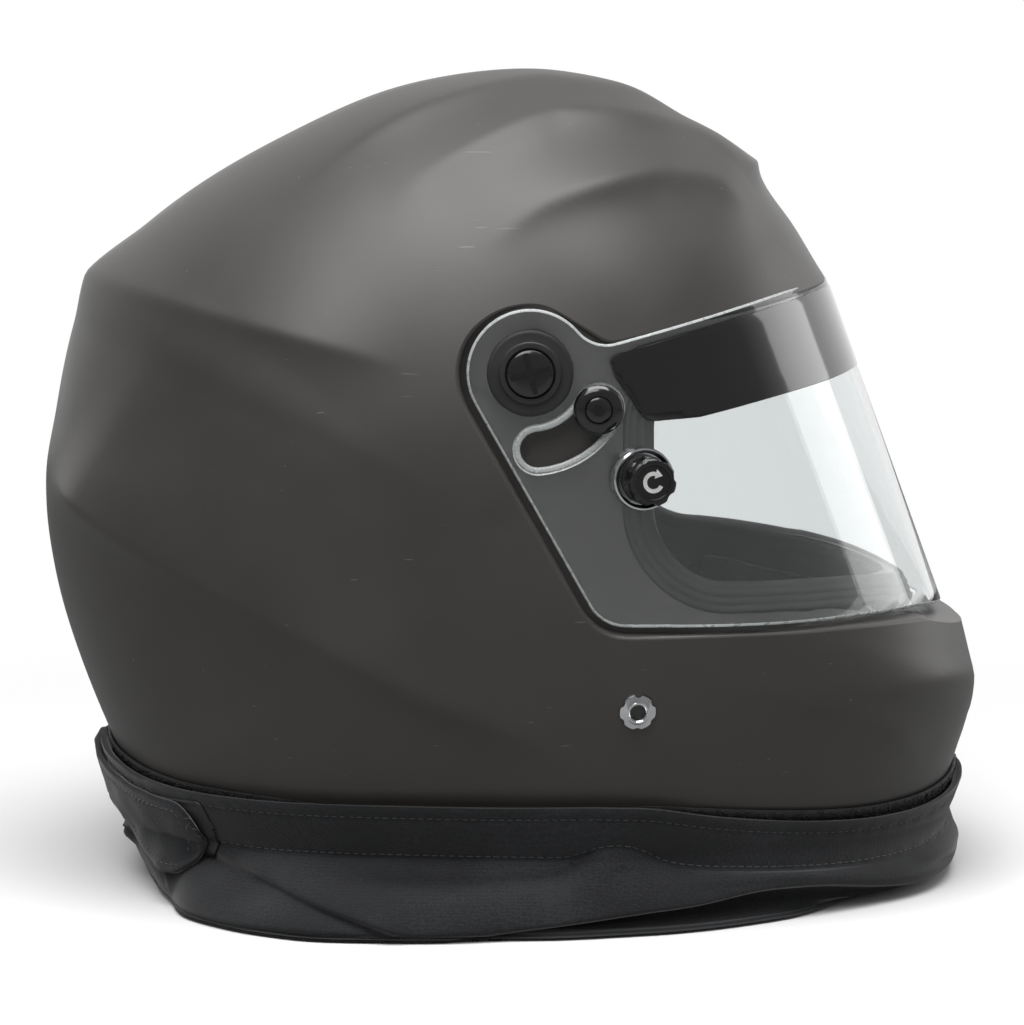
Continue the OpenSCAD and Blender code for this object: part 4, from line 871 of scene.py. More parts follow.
round_edge = [(0.9, 0), (0.45, -0.1), (0.13, -0.38), (0, -0.8), (0, -2.2), (0.13, -2.62), (0.45, -2.9),
    (0.9, -3)]
moulded = [(2.5, 0), (2.3, -0.16), (2.0, -0.3), (1.7, -0.16), (1.5, 0), (0.7, 0), (0.3, -0.1), (0.08, -0.3),
    (0, -0.6),
    (0, -2.5), (0.15, -2.85), (0.6, -3)]
visor_rim = unrolled(visor_outline(), outer_bend, 1.4)
slots = [(loop, moulded) for loop in on_sheet(slot_outline(), outer_bend)]
bores = [(loop, [(0.3, 0), (0, -0.3), (0, -2.7), (0.3, -3)])
    for r, c in ((7.05, [0, 0]), (3.4, [POST_AHEAD, -POST_DROP]))
    for loop in on_sheet(circle(c, r), outer_bend)]
visor = bent_sheet("visor_sheet", outer_bend, visor_rim, round_edge, slots + bores)
print("visor:", len(visor.data.polygons), "faces, edge", len(visor_rim), "points")

# %% [markdown]
# A dark film covers the top of the visor against the sun. It lies on the sheet, so it is drawn on the
# same unrolled sheet and is only 0.4 mm thick. What is printed on the real one is left off.

# %% Make the sun strip
strip_outline = np.vstack([[[28, -1], [33.5, -8.5]], arc([41.5, -10], 6, 215, 285, 8), [[56, -15], [75, -11],
    [92, -7.6], [104, -5.4], [125, -1], [170, 6], [170, 28], [112, 26.6], [103, 25.2], [84, 21], [60, 14.6],
    [36, 8.2], [29, 6.4], [26.4, 4.4]]])
strip_rim = unrolled(strip_outline, outer_bend, 1.6)
film_edge = [(0.25, 0.4), (0.08, 0.34), (0, 0.2), (0, 0.02)]
strip = bent_sheet("sun_film", outer_bend, strip_rim, film_edge, [])
print("sun strip:", len(strip.data.polygons), "faces")

# %% [markdown]
# The eyeport's rubber seal is one extruded length with ribs on its face, wrapped round the edge of the
# shell. So its section is drawn once, as steps out from the edge and up from the recess floor, and
# carried round the opening on the unrolled bend.

# %% Make the eyeport seal
recess_bend = Bend(RECESS_HALF, RECESS_REACH)
port_rim = unrolled(port_outline(0), recess_bend, 2.0)


def rib(at, half, foot=-0.25, top=0.6):
    return [(at + half * np.cos(a), foot + (top - foot) * np.sin(a))
        for a in np.radians([20, 50, 90, 130, 160])]


section = [(8.3, -2.5), (8.3, -0.1), *rib(7.2, 1.1), *rib(4.7, 1.2), *rib(2.1, 1.2), (0.2, 0.1), (-1.2, 0.05),
    (-2, -0.8),
    (-2.1, -3), (-1.9, -7.4), (-1.2, -8.2), (0, -8.3), (2.6, -8.1), (2.6, -6.5), (-0.3, -6.3), (-0.3, -2.6)]
rings = [recess_bend.place(*offset(port_rim, d).T, h) for d, h in section]
points, faces = loft([*rings, rings[0]])
seal = new_piece("port_seal", points, faces, 50)
print("seal:", len(seal.data.polygons), "faces")

# %% [markdown]
# ## Turned parts
# Washers, screws, posts and knobs come off a lathe or a mould that is round, so each is a profile
# turned about its axis. Slots, sockets and scallops are then cut, as a mill would.

# %% Turn a profile and set it in place
def turned(profile, n=96):
    """Loops of a profile of radius and height, which runs from the axis or closes on itself."""
    a = np.linspace(0, 2 * np.pi, n + 1)[:-1]
    rings, caps = [], [None, None]
    for k, (r, z) in enumerate(profile):
        if r == 0:
            caps[0 if k == 0 else 1] = (0, 0, z)
        else:
            rings.append(np.stack([r * np.cos(a), r * np.sin(a), np.full(n, z)], 1))
    if caps == [None, None]:
        rings.append(rings[0])
    return loft(rings, caps)


def moved(*steps):
    """One matrix from steps: ("turn", axis, degrees) or ("go", x, y, z)."""
    m = Matrix()
    for kind, *v in steps:
        m = m @ (Matrix.Rotation(np.radians(v[1]), 4, v[0]) if kind == "turn" else Matrix.Translation(v))
    return np.array(m)


def side_frame(x, z, out=0.0):
    """Local z points out of the helmet's right side, local y points up."""
    return moved(("go", x, 0, z), ("turn", "X", 90), ("go", 0, 0, out))


def put(points, frame):
    """Points taken from a part's own frame to the helmet's."""
    p = np.asarray(points, float)
    return p @ frame[:3, :3].T + frame[:3, 3]


def set_in(name, shape, frame, smooth=35):
    points, faces = shape
    return new_piece(name, put(points, frame), faces, smooth)


def joined(name, pieces, smooth=35, mirror=False):
    """One piece of several, and its mirror image on the other side."""
    work = bmesh.new()
    for piece in pieces:
        work.from_mesh(piece.data)
        bpy.data.objects.remove(piece)
    if mirror:
        copy = bmesh.ops.duplicate(work, geom=work.verts[:] + work.edges[:] + work.faces[:])["geom"]
        for v in copy:
            if isinstance(v, bmesh.types.BMVert):
                v.co.y = -v.co.y
        bmesh.ops.reverse_faces(work, faces=[f for f in copy if isinstance(f, bmesh.types.BMFace)])
    mesh = bpy.data.meshes.new(name)
    work.to_mesh(mesh)
    work.free()
    finish_mesh(mesh, smooth)
    piece = bpy.data.objects.new(name, mesh)
    scene.collection.objects.link(piece)
    return piece


def block(size, centre=(0, 0, 0)):
    s = np.array(size) / 2
    ring = np.array([[-1, -1], [1, -1], [1, 1], [-1, 1]]) * s[:2]
    return loft([np.column_stack([ring, np.full(4, z)]) + centre for z in (-s[2], s[2])], ("flat", "flat"))


# %% Washers and screws of the visor
WASHER_SEAT = VISOR_HALF + 0.3
pivot_at = side_frame(*PIVOT, WASHER_SEAT)
washer = set_in("washer", turned([(2.7, 0), (13.7, 0), (14.1, 0.25), (14.2, 0.7), (14.0, 1.25), (13.4, 1.55),
    (12.9, 1.6),
    (10.7, 1.5), (10.35, 1.6), (10.3, 2.3), (10.0, 2.6), (9.6, 2.65), (8.4, 2.6), (8.1, 2.3), (8.05, 1.3),
    (2.7, 1.3)]), pivot_at)
pivot_washers = joined("pivot_washer_pair", [washer], mirror=True)
head = set_in("head", turned([(0, 0), (2.5, 0), (2.5, 1.35), (7.2, 1.35), (7.7, 1.8), (7.8, 2.9), (7.55, 3.6),
    (6.9, 4.0),
    (5.5, 4.15), (0, 4.2)]), pivot_at)
cross = [set_in("cut", block((13.6, 1.7, 4), (0, 0, 4.6)), pivot_at @ moved(("turn", "Z", a)))
    for a in (15, 105)]
head = carve(head, *cross)
stud = set_in("stud", turned([(0, -12), (2.5, -12), (2.5, 0), (0, 0)], 32), pivot_at)
pivot_screws = joined("pivot_screw_pair", [head, stud], 30, mirror=True)
GUIDE = PIVOT + GUIDE_ARM * np.array([np.cos(np.radians(GUIDE_ANGLE)), -np.sin(np.radians(GUIDE_ANGLE))])
guide_at = side_frame(*GUIDE, WASHER_SEAT)
dome = [(1.9, 0), (7.9, 0), (8.3, 0.3), (8.35, 0.9), (8.0, 1.7), (7.2, 2.4), (6.2, 2.85), (5.2, 3.05),
    (4.6, 3.0), (4.4, 2.7),
    (4.4, 1.1), (1.9, 1.1)]
guide_washers = joined("guide_washer_pair", [set_in("washer", turned(dome), guide_at)], mirror=True)
hexagon = loft([np.column_stack([circle([0, 0], 2.0, 6), np.full(6, z)]) for z in (2.0, 6)], ("flat", "flat"))
button = set_in("head", turned([(0, -12), (1.6, -12), (1.6, 1.2), (4.2, 1.2), (4.3, 2.3), (4.1, 3.0),
    (3.5, 3.35), (2.6, 3.45), (0, 3.45)]), guide_at)
guide_screws = joined("guide_screw_pair", [carve(button, set_in("cut", hexagon, guide_at))], 30, mirror=True)
print("washers and screws:", [len(p.data.polygons) for p in (pivot_washers, pivot_screws, guide_washers,
    guide_screws)])

# %% [markdown]
# A tear-off post is a bright cup that is fixed to the visor, with a black knob that turns in it and
# holds the tabs of the tear-off films. The knob's grip has seven scallops, and a light ring with an
# arrow head on its face shows that it turns.

# %% Posts and knobs
post_side = np.array([POST_AHEAD, -POST_DROP])
POST_SEAT = float(-outer_bend.place(*outer_bend.unroll(post_side[None]).T)[0, 1])
post_at = side_frame(PIVOT[0] + post_side[0], PIVOT[1] + post_side[1],
    POST_SEAT) @ moved(("turn", "Y", POST_LEAN))
cup = [(0, -2.4), (8.6, -2.4), (9.9, -2.2), (10.3, -1.2), (10.5, 0.8), (10.5, 2.2), (10.1, 3.0), (10.0, 3.6),
    (10.4, 4.4), (10.2, 5.2),
    (9.6, 5.5), (9.0, 5.2), (8.7, 4.4), (8.6, 2.4), (3.5, 2.2), (3.5, 14.0), (0, 14.0)]
grip = [(3.55, 2.5), (7.6, 2.5), (7.9, 2.8), (7.9, 5.2), (7.5, 5.8), (6.5, 6.1), (6.4, 7.0), (6.6, 7.4),
    (7.7, 7.8), (8.0, 8.3), (8.0, 15.4),
    (7.8, 16.2), (7.2, 16.8), (6.5, 17.0), (6.0, 17.0), (5.7, 16.85), (5.5, 16.5), (0, 16.45)]
grip_axis = [(0, 14.3), (3.55, 14.3), *grip]


def arrow_ring(out):
    """Three quarters of a flat ring with an arrow head, as a closed plate."""
    a = np.radians(np.linspace(75, 335, 40))
    ring = np.vstack([np.stack([3.5 * np.cos(a), 3.5 * np.sin(a)], 1),
        np.stack([2.2 * np.cos(a[::-1]), 2.2 * np.sin(a[::-1])], 1)])
    tip = np.array([np.cos(a[0]), np.sin(a[0])])
    side = np.array([tip[1], -tip[0]])
    head = np.array([tip * 1.3, tip * 4.5, tip * 2.85 + side * 2.4])
    shapes = [loft([np.column_stack([shape, np.full(len(shape), z)]) for z in (out, out + 0.12)],
        ("flat", "flat")) for shape in (ring, head)]
    return shapes


posts, knobs, marks = [], [], []
for side, name in ((1, "right"), (-1, "left")):
    flip = np.diag([1, side, 1, 1]).astype(float)
    posts.append(set_in("post_cup_" + name, turned(cup), flip @ post_at))
    knob = set_in("post_grip_" + name, turned(grip_axis, 140), flip @ post_at)
    scallops = [set_in("cut", turned([(0, 6.9), (2.6, 6.9), (2.6, 20), (0, 20)], 40),
        flip @ post_at @ moved(("turn", "Z", 360 * i / 7 + 12), ("go", 9.45, 0, 0)))
        for i in range(7)]
    knobs.append(carve(knob, *scallops))
    finish_mesh(knob.data, 32)
    marks.append(joined("post_mark_" + name, [set_in("mark", shape, flip @ post_at)
        for shape in arrow_ring(16.46)], 30))
print("posts:", POST_SEAT, [len(p.data.polygons) for p in posts + knobs])

# %% [markdown]
# The strap anchors end outside in a bright terminal with six notches and a threaded bore, into which
# a head restraint's post screws.

# %% Anchor terminals
ANCHOR = np.array([41.4, 76.4])
ANCHOR_SEAT = half_width(*ANCHOR) - 1.2
anchor_at = side_frame(*ANCHOR, ANCHOR_SEAT) @ moved(("turn", "Y", 6.7), ("turn", "X", 11))
star = set_in("star", turned([(2.5, -13.3), (4, -13.3), (4, 0), (5.9, 0), (6.25, 0.4), (6.3, 1.9), (6.0, 2.5),
    (5.3, 2.85), (4.2, 3.1),
    (3.7, 3.5), (3.1, 3.55), (2.75, 3.2), (2.5, 2.8)], 120), anchor_at)
notches = [set_in("cut", turned([(0, -0.6), (1.75, -0.6), (1.75, 8), (0, 8)], 32),
    anchor_at @ moved(("turn", "Z", 30 + 60 * i), ("go", 7.1, 0, 0)))
    for i in range(6)]
star = carve(star, *notches)
terminals = joined("anchor_star_pair", [star], 32, mirror=True)
print("terminals:", len(terminals.data.polygons), "faces, seat", round(ANCHOR_SEAT, 2))

# %% [markdown]
# ## The skirt
# A ring of knitted cloth hangs from a tape of small hooks round the rim: its hem is flat against the
# shell, two seams run round it, and the loose part lies bunched on the floor under the rim. Cloth
# simulation would fold it somewhere else than in the photograph, so its section is drawn at each
# direction round the helmet, from a few tables, and the folds are lines that push the cloth in or out.

# %% Distances round the rim
AXIS_X = -2.0


def reach(b, z):
    """From the upright axis to the lifted skin."""
    b, z = np.broadcast_arrays(np.asarray(b, float), np.asarray(z, float))
    low, high = np.full(b.shape, 40.0), np.full(b.shape, 220.0)
    for _ in range(22):
        m = (low + high) / 2
        q = np.stack([AXIS_X + m * np.cos(np.radians(b)), m * np.sin(np.radians(b)), z], -1).reshape(-1, 3)
        out = (outside(q) > 0).reshape(b.shape)
        low, high = np.where(out, low, m), np.where(out, m, high)
    return low


LEVEL, SPOT = 4.0, 1.5  # mm and degrees between the measured places
levels, spots = np.arange(RIM, 61, LEVEL), np.arange(0, 361, SPOT)
reach_table = reach(spots[None], levels[:, None])


def rim_reach(b, z):
    """The same distance, read between the measured places."""
    row = np.clip((z - RIM) / LEVEL, 0, len(levels) - 1.001)
    k = row.astype(int)
    col = (b % 360) / SPOT
    c = col.astype(int)
    f, g = row - k, col - c
    return ((reach_table[k, c] * (1 - g) + reach_table[k, c + 1] * g) * (1 - f)
        + (reach_table[k + 1, c] * (1 - g) + reach_table[k + 1, c + 1] * g) * f)


def round_rim(b, out, z):
    """Points at directions b, at a distance out from the shell and a height z."""
    b, out, z = np.broadcast_arrays(np.asarray(b, float), np.asarray(out, float), np.asarray(z, float))
    r = rim_reach(b, np.maximum(z, RIM)) + out
    return np.stack([AXIS_X + r * np.cos(np.radians(b)), r * np.sin(np.radians(b)), z], -1)


def around(table, b):
    """A table of direction and value, smoothed, at directions b."""
    t = np.array(table, float)
    fine = np.arange(0, 360, 1.0)
    v = np.interp(fine, t[:, 0], t[:, 1], period=360)
    spread = np.exp(-(np.arange(-6, 7) / 3.0) ** 2)
    v = np.convolve(np.concatenate([v[-6:], v, v[:6]]), spread / spread.sum(), "valid")
    return np.interp(b, fine, v, period=360)


print("rim:", round(float(rim_reach(np.array(270.0), np.array(24.0))), 1), "mm from the axis beside the ear")

# %% [markdown]
# The tables go round from the front (0 degrees) over the left side (90), the back (180) and the right
# side (270), which the photograph shows. The band dips at the front, where the tape of hooks shows
# over it, and the cloth has a tuck along its front half that ends in a shadow.

# %% The skirt's tables
hem_top = [(0, 38), (10, 36.5), (22, 32.6), (34, 33), (46, 35.4), (57, 39), (66, 42.2), (90, 43.2), (108, 43.3),
    (130, 42.6),
    (146, 43.4), (157, 45.6), (168, 48), (180, 50), (186, 49.6), (195, 47), (205, 44.2), (216, 42.6),
    (231, 42.4), (252, 43.3),
    (269, 43.2), (284, 43.2), (294, 42.3), (303, 38.4), (314, 34.9), (320, 33.4), (328, 32), (338, 32),
    (346, 34), (353, 37)]
tape_show = [(0, 3.4), (20, 4), (40, 3.4), (57, 2), (66, 0), (74, -1.5), (135, -1.5), (150, 1.2), (165, 2),
    (180, 2.2), (205, 2.3),
    (222, 1.8), (232, 0.8), (242, -1.5), (286, -1.5), (294, 0.4), (303, 2.4), (314, 3.4), (328, 3.9),
    (340, 4.4), (352, 3.8)]
seam_drop = [(0, 15.4), (40, 15.4), (60, 17.4), (90, 18), (180, 18), (269, 18), (278, 18.4), (282, 18.6),
    (284.5, 14.4), (289, 13.2),
    (293, 14.6), (296.5, 19.0), (301, 18.4), (307, 17.4), (316, 16.2), (330, 15.2), (345, 15)]
floor_out = [(0, 0.7), (10, -4), (20, -8), (32, -3), (43, 6), (55, 12), (67, 16), (80, 19), (95, 23), (110, 26),
    (125, 23), (138, 14),
    (148, 3), (160, -8), (170, -12), (180, -13), (190, -12), (201, -6), (211, 7), (220, 20), (232, 29),
    (243, 31), (257, 26.5),
    (269, 22.4), (280, 20), (292, 17.5), (305, 13.8), (317, 6.4), (328, -3), (339, -9), (345, -7.8),
    (350, -4.4)]
tuck_height = [(0, 5), (10, 4), (20, 5), (34, 9), (48, 11.6), (62, 9), (78, 6), (92, 2.5), (100, 0), (258, 0),
    (269, 3.1), (280, 5.6),
    (293, 8.3), (301, 9.3), (306, 10.7), (312, 12.3), (321, 11.3), (330, 7.4), (338, 4.8), (346, 4.2),
    (354, 4.4)]
tuck_out = [(0, 7.6), (20, 8), (34, 10), (48, 13), (62, 15.5), (78, 19), (92, 24), (104, 28), (110, 29),
    (125, 26), (138, 17),
    (148, 7), (160, 1), (170, -1), (190, -1), (201, 1.5), (211, 10), (220, 21.5), (232, 31), (243, 33),
    (257, 28.5), (269, 23.5),
    (280, 20.5), (292, 17.5), (301, 14.6), (311, 12), (321, 9.8), (330, 8.6), (345, 7.8)]

# %% Lines that fold the cloth
# Direction and height of each point, how far the cloth stands out above the line, how deep it lies
# below, how wide each side is, and where it fades at its ends
folds = [
    ([(214, 20.5), (219, 18), (225, 15.5), (232, 12), (241, 8.4)], 0.4, 4.4, 3.0, 3.6, 0.15, 0.35),
    ([(223, 21.5), (229, 19), (235, 16.4), (242, 12.7), (249.5, 8.1), (257, 3)], 2.8, 4.2, 6.0, 3.2, 0.3, 0.12),
    ([(237, 19.4), (247.5, 17), (256, 16.1), (267, 16.7), (277, 17.8), (281, 20), (284.4, 25), (287.5, 29)],
        0.3, 2.9, 2.6, 2.8, 0.25, 0.3),
    ([(283, 20.5), (288, 23.4), (294, 21.5)], 1.3, 0.0, 4.5, 4.5, 0.5, 0.5),
    ([(228, 8.8), (233, 8.4), (242, 5.6), (247, 4)], 0.6, 2.6, 2.0, 1.8, 0.4, 0.4),
    ([(190, 20), (193.6, 17), (197, 13)], 3.4, 1.8, 3.4, 2.6, 0.5, 0.5),
    ([(209, 15), (211.5, 10), (213.5, 4)], 1.6, 3.0, 3.5, 2.4, 0.3, 0.2),
    ([(296, 15.5), (305, 16.8), (315, 16.4), (326, 13.5)], 0.8, 1.0, 3.5, 3.0, 0.4, 0.4),
    ([(140, 21), (131, 17), (122, 12.5), (113, 8), (104, 3.5)], 2.6, 3.8, 5.5, 3.2, 0.3, 0.15),
    ([(122, 19), (110, 16.5), (98, 16), (86, 17.5), (78, 20.5)], 0.3, 2.7, 2.6, 3.0, 0.3, 0.35),
    ([(150, 18), (146, 12), (143, 5)], 1.6, 2.8, 3.4, 2.6, 0.3, 0.2),
    ([(72, 14), (60, 17), (48, 16.5), (38, 13)], 0.9, 1.6, 3.5, 3.0, 0.4, 0.4),
    ([(168, 17), (174, 12), (182, 9.5), (188, 11)], 1.8, 2.6, 4.5, 2.8, 0.4, 0.4),
    ([(352, 13), (360, 10.5), (369, 9), (378, 10.5)], 1.2, 1.6, 4.0, 2.6, 0.4, 0.4),
    ([(335, 14), (343, 12.4), (352, 10)], 0.8, 1.2, 3.0, 2.4, 0.4, 0.4)]
ROUND, STEEP = 2.2, 2.0


def folded(b, z):
    """How far the folds move the cloth out at directions b and heights z."""
    total = np.zeros(b.shape)
    for points, proud, deep, above, below, head, tail in folds:
        line = through(points, 8)
        mid = line[:, 0].mean()
        p = np.stack([((b - mid + 180) % 360 - 180 + mid) * ROUND, z], -1)
        line = line * [ROUND, 1]
        best, moved_out = np.full(b.shape, 1e9), np.zeros(b.shape)
        for i in range(len(line) - 1):
            v = line[i + 1] - line[i]
            t, d, gap = off_segment(p, line[i], v)
            u = (i + t) / (len(line) - 1)
            fade = np.clip(u / head, 0, 1) * np.clip((1 - u) / tail, 0, 1)
            up = (v[0] * d[..., 1] - v[1] * d[..., 0]) * np.sign(v[0] + 1e-9) >= 0
            over, under, edge = (np.exp(-((gap / width) ** 2)) for width in (above, below, STEEP))
            if proud > 0.5:
                high, low = proud * over, proud * edge - deep * (under - edge)
            else:
                high, low = (proud - deep) * over, (proud - deep) * under
            new = rise(fade) * np.where(up, high, low)
            moved_out = np.where(gap < best, new, moved_out)
            best = np.minimum(best, gap)
        total += moved_out
    return total


print("folds:", len(folds))

# %% The cloth's section at each direction
def section_at(b):
    """Key points out from the shell and up, from the hem's inner edge to the end under the rim."""
    top, lay, tuck, rim_out = (around(t, b) for t in (hem_top, floor_out, tuck_height, tuck_out))
    seam = top - around(seam_drop, b)
    low = np.maximum(tuck, 2.6)
    k = rise(tuck / 4)
    mix = lambda a, c: a + (c - a) * k
    span, out = seam - low, 6.4
    return np.stack([np.broadcast_arrays(*pair, b)[:2] for pair in [
        (2.8, top - 9), (2.7, top - 4), (2.8, top - 1), (3.4, top - 0.2), (4.2, top), (5.0, top - 0.3),
        (5.4, top - 1.4),
        (5.5, top - 3.2), (5.1, top - 4.5), (5.6, top - 5.6), (6.0, top - 8.5), (6.3, top - 0.7 * (top - seam)),
        (6.5, seam + 1.3), (6.2, seam), (6.7, seam - 1.2),
        (out + 0.22 * (rim_out - out) + 1.2, seam - 0.27 * span),
        (out + 0.52 * (rim_out - out) + 2.2, seam - 0.52 * span),
        (out + 0.82 * (rim_out - out) + 1.6, seam - 0.77 * span),
        (rim_out + 0.4, seam - 0.94 * span), (rim_out - 0.1, low),
        (mix(rim_out, rim_out - 1.9), low - mix(0.2, 0.9)),
        (mix(rim_out - 0.1, rim_out - 7), low - mix(0.4, 0.6)),
        (mix(rim_out - 0.2, rim_out - 9.5), mix(low - 0.6, 0.62 * low)),
        (mix(rim_out - 0.4, rim_out - 7.5), mix(low - 0.8, 0.4 * low)), (mix(lay + 2.2, lay - 1.2), 1.7),
        (lay + 0.9, 0.9),
        (lay - 0.6, 0.15), (lay - 3, 0), (0.5 * lay - 9, 0), (-18, 0.3), (-22.5, 3), (-24, 9), (-22, 15),
        (-17.5, 18.5)]])


STEPS = [1, 2, 1, 1, 1, 1, 2, 1, 1, 3, 3, 3, 1, 1, 8, 9, 9, 6, 2, 1, 3, 2, 2, 2, 1, 1, 2, 5, 2, 2, 2, 2, 2]


def row_of(key):
    return sum(STEPS[:key])


STEP_ROUND = 0.75  # degrees between two sections
round_at = np.arange(0, 360, STEP_ROUND)
section = through(section_at(round_at), STEPS)
print("skirt section:", section.shape)

# %% Make the skirt's cloth
CLOTH = 1.1  # the cloth's wall in mm; what lies on the floor is lifted by it, as it grows down there
out, up = section[:, 0], np.maximum(section[:, 1], CLOTH)
rows = np.arange(len(out))[:, None]
b = np.broadcast_to(round_at, out.shape)
on_face = rise((rows - row_of(9)) / 6.0) * rise((row_of(19) + 4 - rows) / 5.0)
loose = rise((rows - row_of(13)) / 5.0) * rise((row_of(27) - rows) / 3.0)
wave = (0.5 * np.sin(np.radians(b * 7 + 40)) * np.sin(np.radians(b * 3 + 8 * rows))
    + 0.25 * np.sin(np.radians(b * 19 + 3 * rows)))
pucker = 0.16 * np.sin(b * ROUND * 2 * np.pi / 7.3 + 1.3 * np.sin(np.radians(b * 11)))
near_seam = np.exp(-(((rows - row_of(8)) / 2.0) ** 2)) + np.exp(-(((rows - row_of(13)) / 1.6) ** 2))
outer_side = (rows >= row_of(5)) & (rows <= row_of(27))
out = out + on_face * folded(b, up) + (0.3 + 0.9 * loose) * wave * outer_side + pucker * near_seam * outer_side
cloth_rows = round_rim(b, out, up)
n = len(round_at)
points = cloth_rows.reshape(-1, 3)
quads = [(k * n + i, k * n + (i + 1) % n, (k + 1) * n + (i + 1) % n, (k + 1) * n + i)
    for k in range(len(out) - 1) for i in range(n)]
skirt = new_piece("skirt_fabric", points, quads, 60)


def thickened(piece, wall, offset=-1.0):
    """Gives a sheet a wall and closed edges: 1 adds it on the side its faces look to, -1 on the other."""
    step = piece.modifiers.new("wall", "SOLIDIFY")
    step.thickness, step.offset, step.use_even_offset = wall * MM, offset, False
    applied(piece)
    return piece


def outward(piece, inner):
    """Turns an open sheet's faces so that those of its upright part look away from a point."""
    work = bmesh.new()
    work.from_mesh(piece.data)
    bmesh.ops.recalc_face_normals(work, faces=work.faces)
    upright = [f for f in work.faces if 0.02 < f.calc_center_median().z < 0.03]
    side = sum(f.normal.dot(f.calc_center_median() - Vector(inner)) * f.calc_area() for f in upright)
    if side < 0:
        bmesh.ops.reverse_faces(work, faces=work.faces)
    work.to_mesh(piece.data)
    work.free()


outward(skirt, (0, 0, 0.025))
thickened(skirt, CLOTH)
area = sum(f.area for f in skirt.data.polygons) / 2
print("skirt cloth:", len(skirt.data.polygons), "faces, one layer", round(area, 4), "m2")

# %% [markdown]
# The two seams are rows of short stitches. One tree of Geometry Nodes sews any line: it spaces
# points along it and puts a small bead of thread on each, turned along the line.

# %% A tree that sews
def new_tree(name, sockets):
    tree = bpy.data.node_groups.new(name, "GeometryNodeTree")
    tree.interface.new_socket("Geometry", in_out="INPUT", socket_type="NodeSocketGeometry")
    for label, kind in sockets.items():
        tree.interface.new_socket(label, in_out="INPUT", socket_type="NodeSocket" + kind)
    tree.interface.new_socket("Geometry", in_out="OUTPUT", socket_type="NodeSocketGeometry")
    return tree, node(tree, "NodeGroupInput").outputs


def finish_tree(tree, instances, given):
    real = node(tree, "GeometryNodeRealizeInstances", {"Geometry": instances.outputs["Instances"]})
    dressed = node(tree, "GeometryNodeSetMaterial",
        {"Geometry": real.outputs["Geometry"], "Material": given["Material"]})
    node(tree, "NodeGroupOutput", {"Geometry": dressed.outputs["Geometry"]})


def run_tree(name, source, tree, **inputs):
    """Runs a tree on a piece, and keeps the result as a plain mesh."""
    step = source.modifiers.new("nodes", "NODES")
    step.node_group = tree
    sockets = {s.name: s.identifier for s in tree.interface.items_tree if s.in_out == "INPUT"}
    for key, value in inputs.items():
        step[sockets[key]] = value
    mesh = bpy.data.meshes.new_from_object(source.evaluated_get(bpy.context.evaluated_depsgraph_get()))
    source.modifiers.clear()
    bpy.data.objects.remove(source)
    piece = bpy.data.objects.new(name, mesh)
    mesh.name = name
    mesh.shade_smooth()
    scene.collection.objects.link(piece)
    return piece


sewing, given = new_tree("stitches along a line", {"Pitch": "Float", "Length": "Float", "Thread": "Float",
    "Material": "Material"})
line = node(sewing, "GeometryNodeMeshToCurve", {"Mesh": given["Geometry"]})
even = node(sewing, "GeometryNodeResampleCurve", {"Curve": line.outputs["Curve"], "Length": given["Pitch"]},
    mode="LENGTH")
along = node(sewing, "GeometryNodeInputTangent")
turn = node(sewing, "FunctionNodeAlignRotationToVector", {"Vector": along.outputs["Tangent"]}, axis="X")
bead = node(sewing, "GeometryNodeMeshUVSphere", values={"Segments": 6, "Rings": 5, "Radius": 0.5})
size = node(sewing, "ShaderNodeCombineXYZ", {"X": given["Length"], "Y": given["Thread"], "Z": given["Thread"]})
sewn = node(sewing, "GeometryNodeInstanceOnPoints",
    {"Points": even.outputs["Curve"], "Instance": bead.outputs["Mesh"],
    "Rotation": turn.outputs["Rotation"], "Scale": size.outputs["Vector"]})
finish_tree(sewing, sewn, given)


def sewn_lines(name, lines, pitch, length, thread, what):
    points, edges = [], []
    for line in lines:
        edges += [(len(points) + i, len(points) + i + 1) for i in range(len(line) - 1)]
        points += [tuple(np.asarray(p) * MM) for p in line]
    mesh = bpy.data.meshes.new(name)
    mesh.from_pydata(points, edges, [])
    source = bpy.data.objects.new(name, mesh)
    scene.collection.objects.link(source)
    return run_tree(name, source, sewing, Pitch=pitch * MM, Length=length * MM, Thread=thread * MM,
        Material=finishes[what])


# %% Stitch the seams
def closed(line):
    return np.vstack([line, line[:1]])


seam_rows = [closed(round_rim(round_at, out[row_of(key)] + lift_out, up[row_of(key)] + raised))
    for key, lift_out, raised in
    ((8, 0.05, 0.1), (13, 0.1, 0.1))]
stitches = sewn_lines("skirt_stitches", seam_rows, 3.0, 2.2, 0.42, "thread")
print("stitches:", len(stitches.data.polygons), "faces")

# %% [markdown]
# A rubber channel is pushed over the shell's cut edge. It is drawn as a section too, so that it
# follows the scene's rim.

# %% Rim trim
channel = [(-4.2, 31.4), (-4.9, 31.8), (-5.6, 31.2), (-5.8, 28), (-5.8, 24), (-5.2, 22.8), (-4.2, 22.2),
    (-2, 22), (0.2, 22.2), (1.2, 22.8),
    (1.7, 24), (1.7, 28), (1.4, 31.2), (0.8, 31.9), (0.25, 31.4), (0.2, 24.3), (-4.2, 24.3)]
turns_round = np.arange(0, 360, 1.5)
trim_loops = [round_rim(turns_round, o, z) for o, z in channel]
trim = new_piece("trim_channel", *loft([*trim_loops, trim_loops[0]]), 50)
print("trim:", len(trim.data.polygons), "faces")

# %% [markdown]
# The tape that holds the skirt is hook tape, glued round the shell. It shows over the hem at the
# front and at the back. Its hooks are the second tree: points spread over its face with a fixed
# seed, each with a small bent wire.

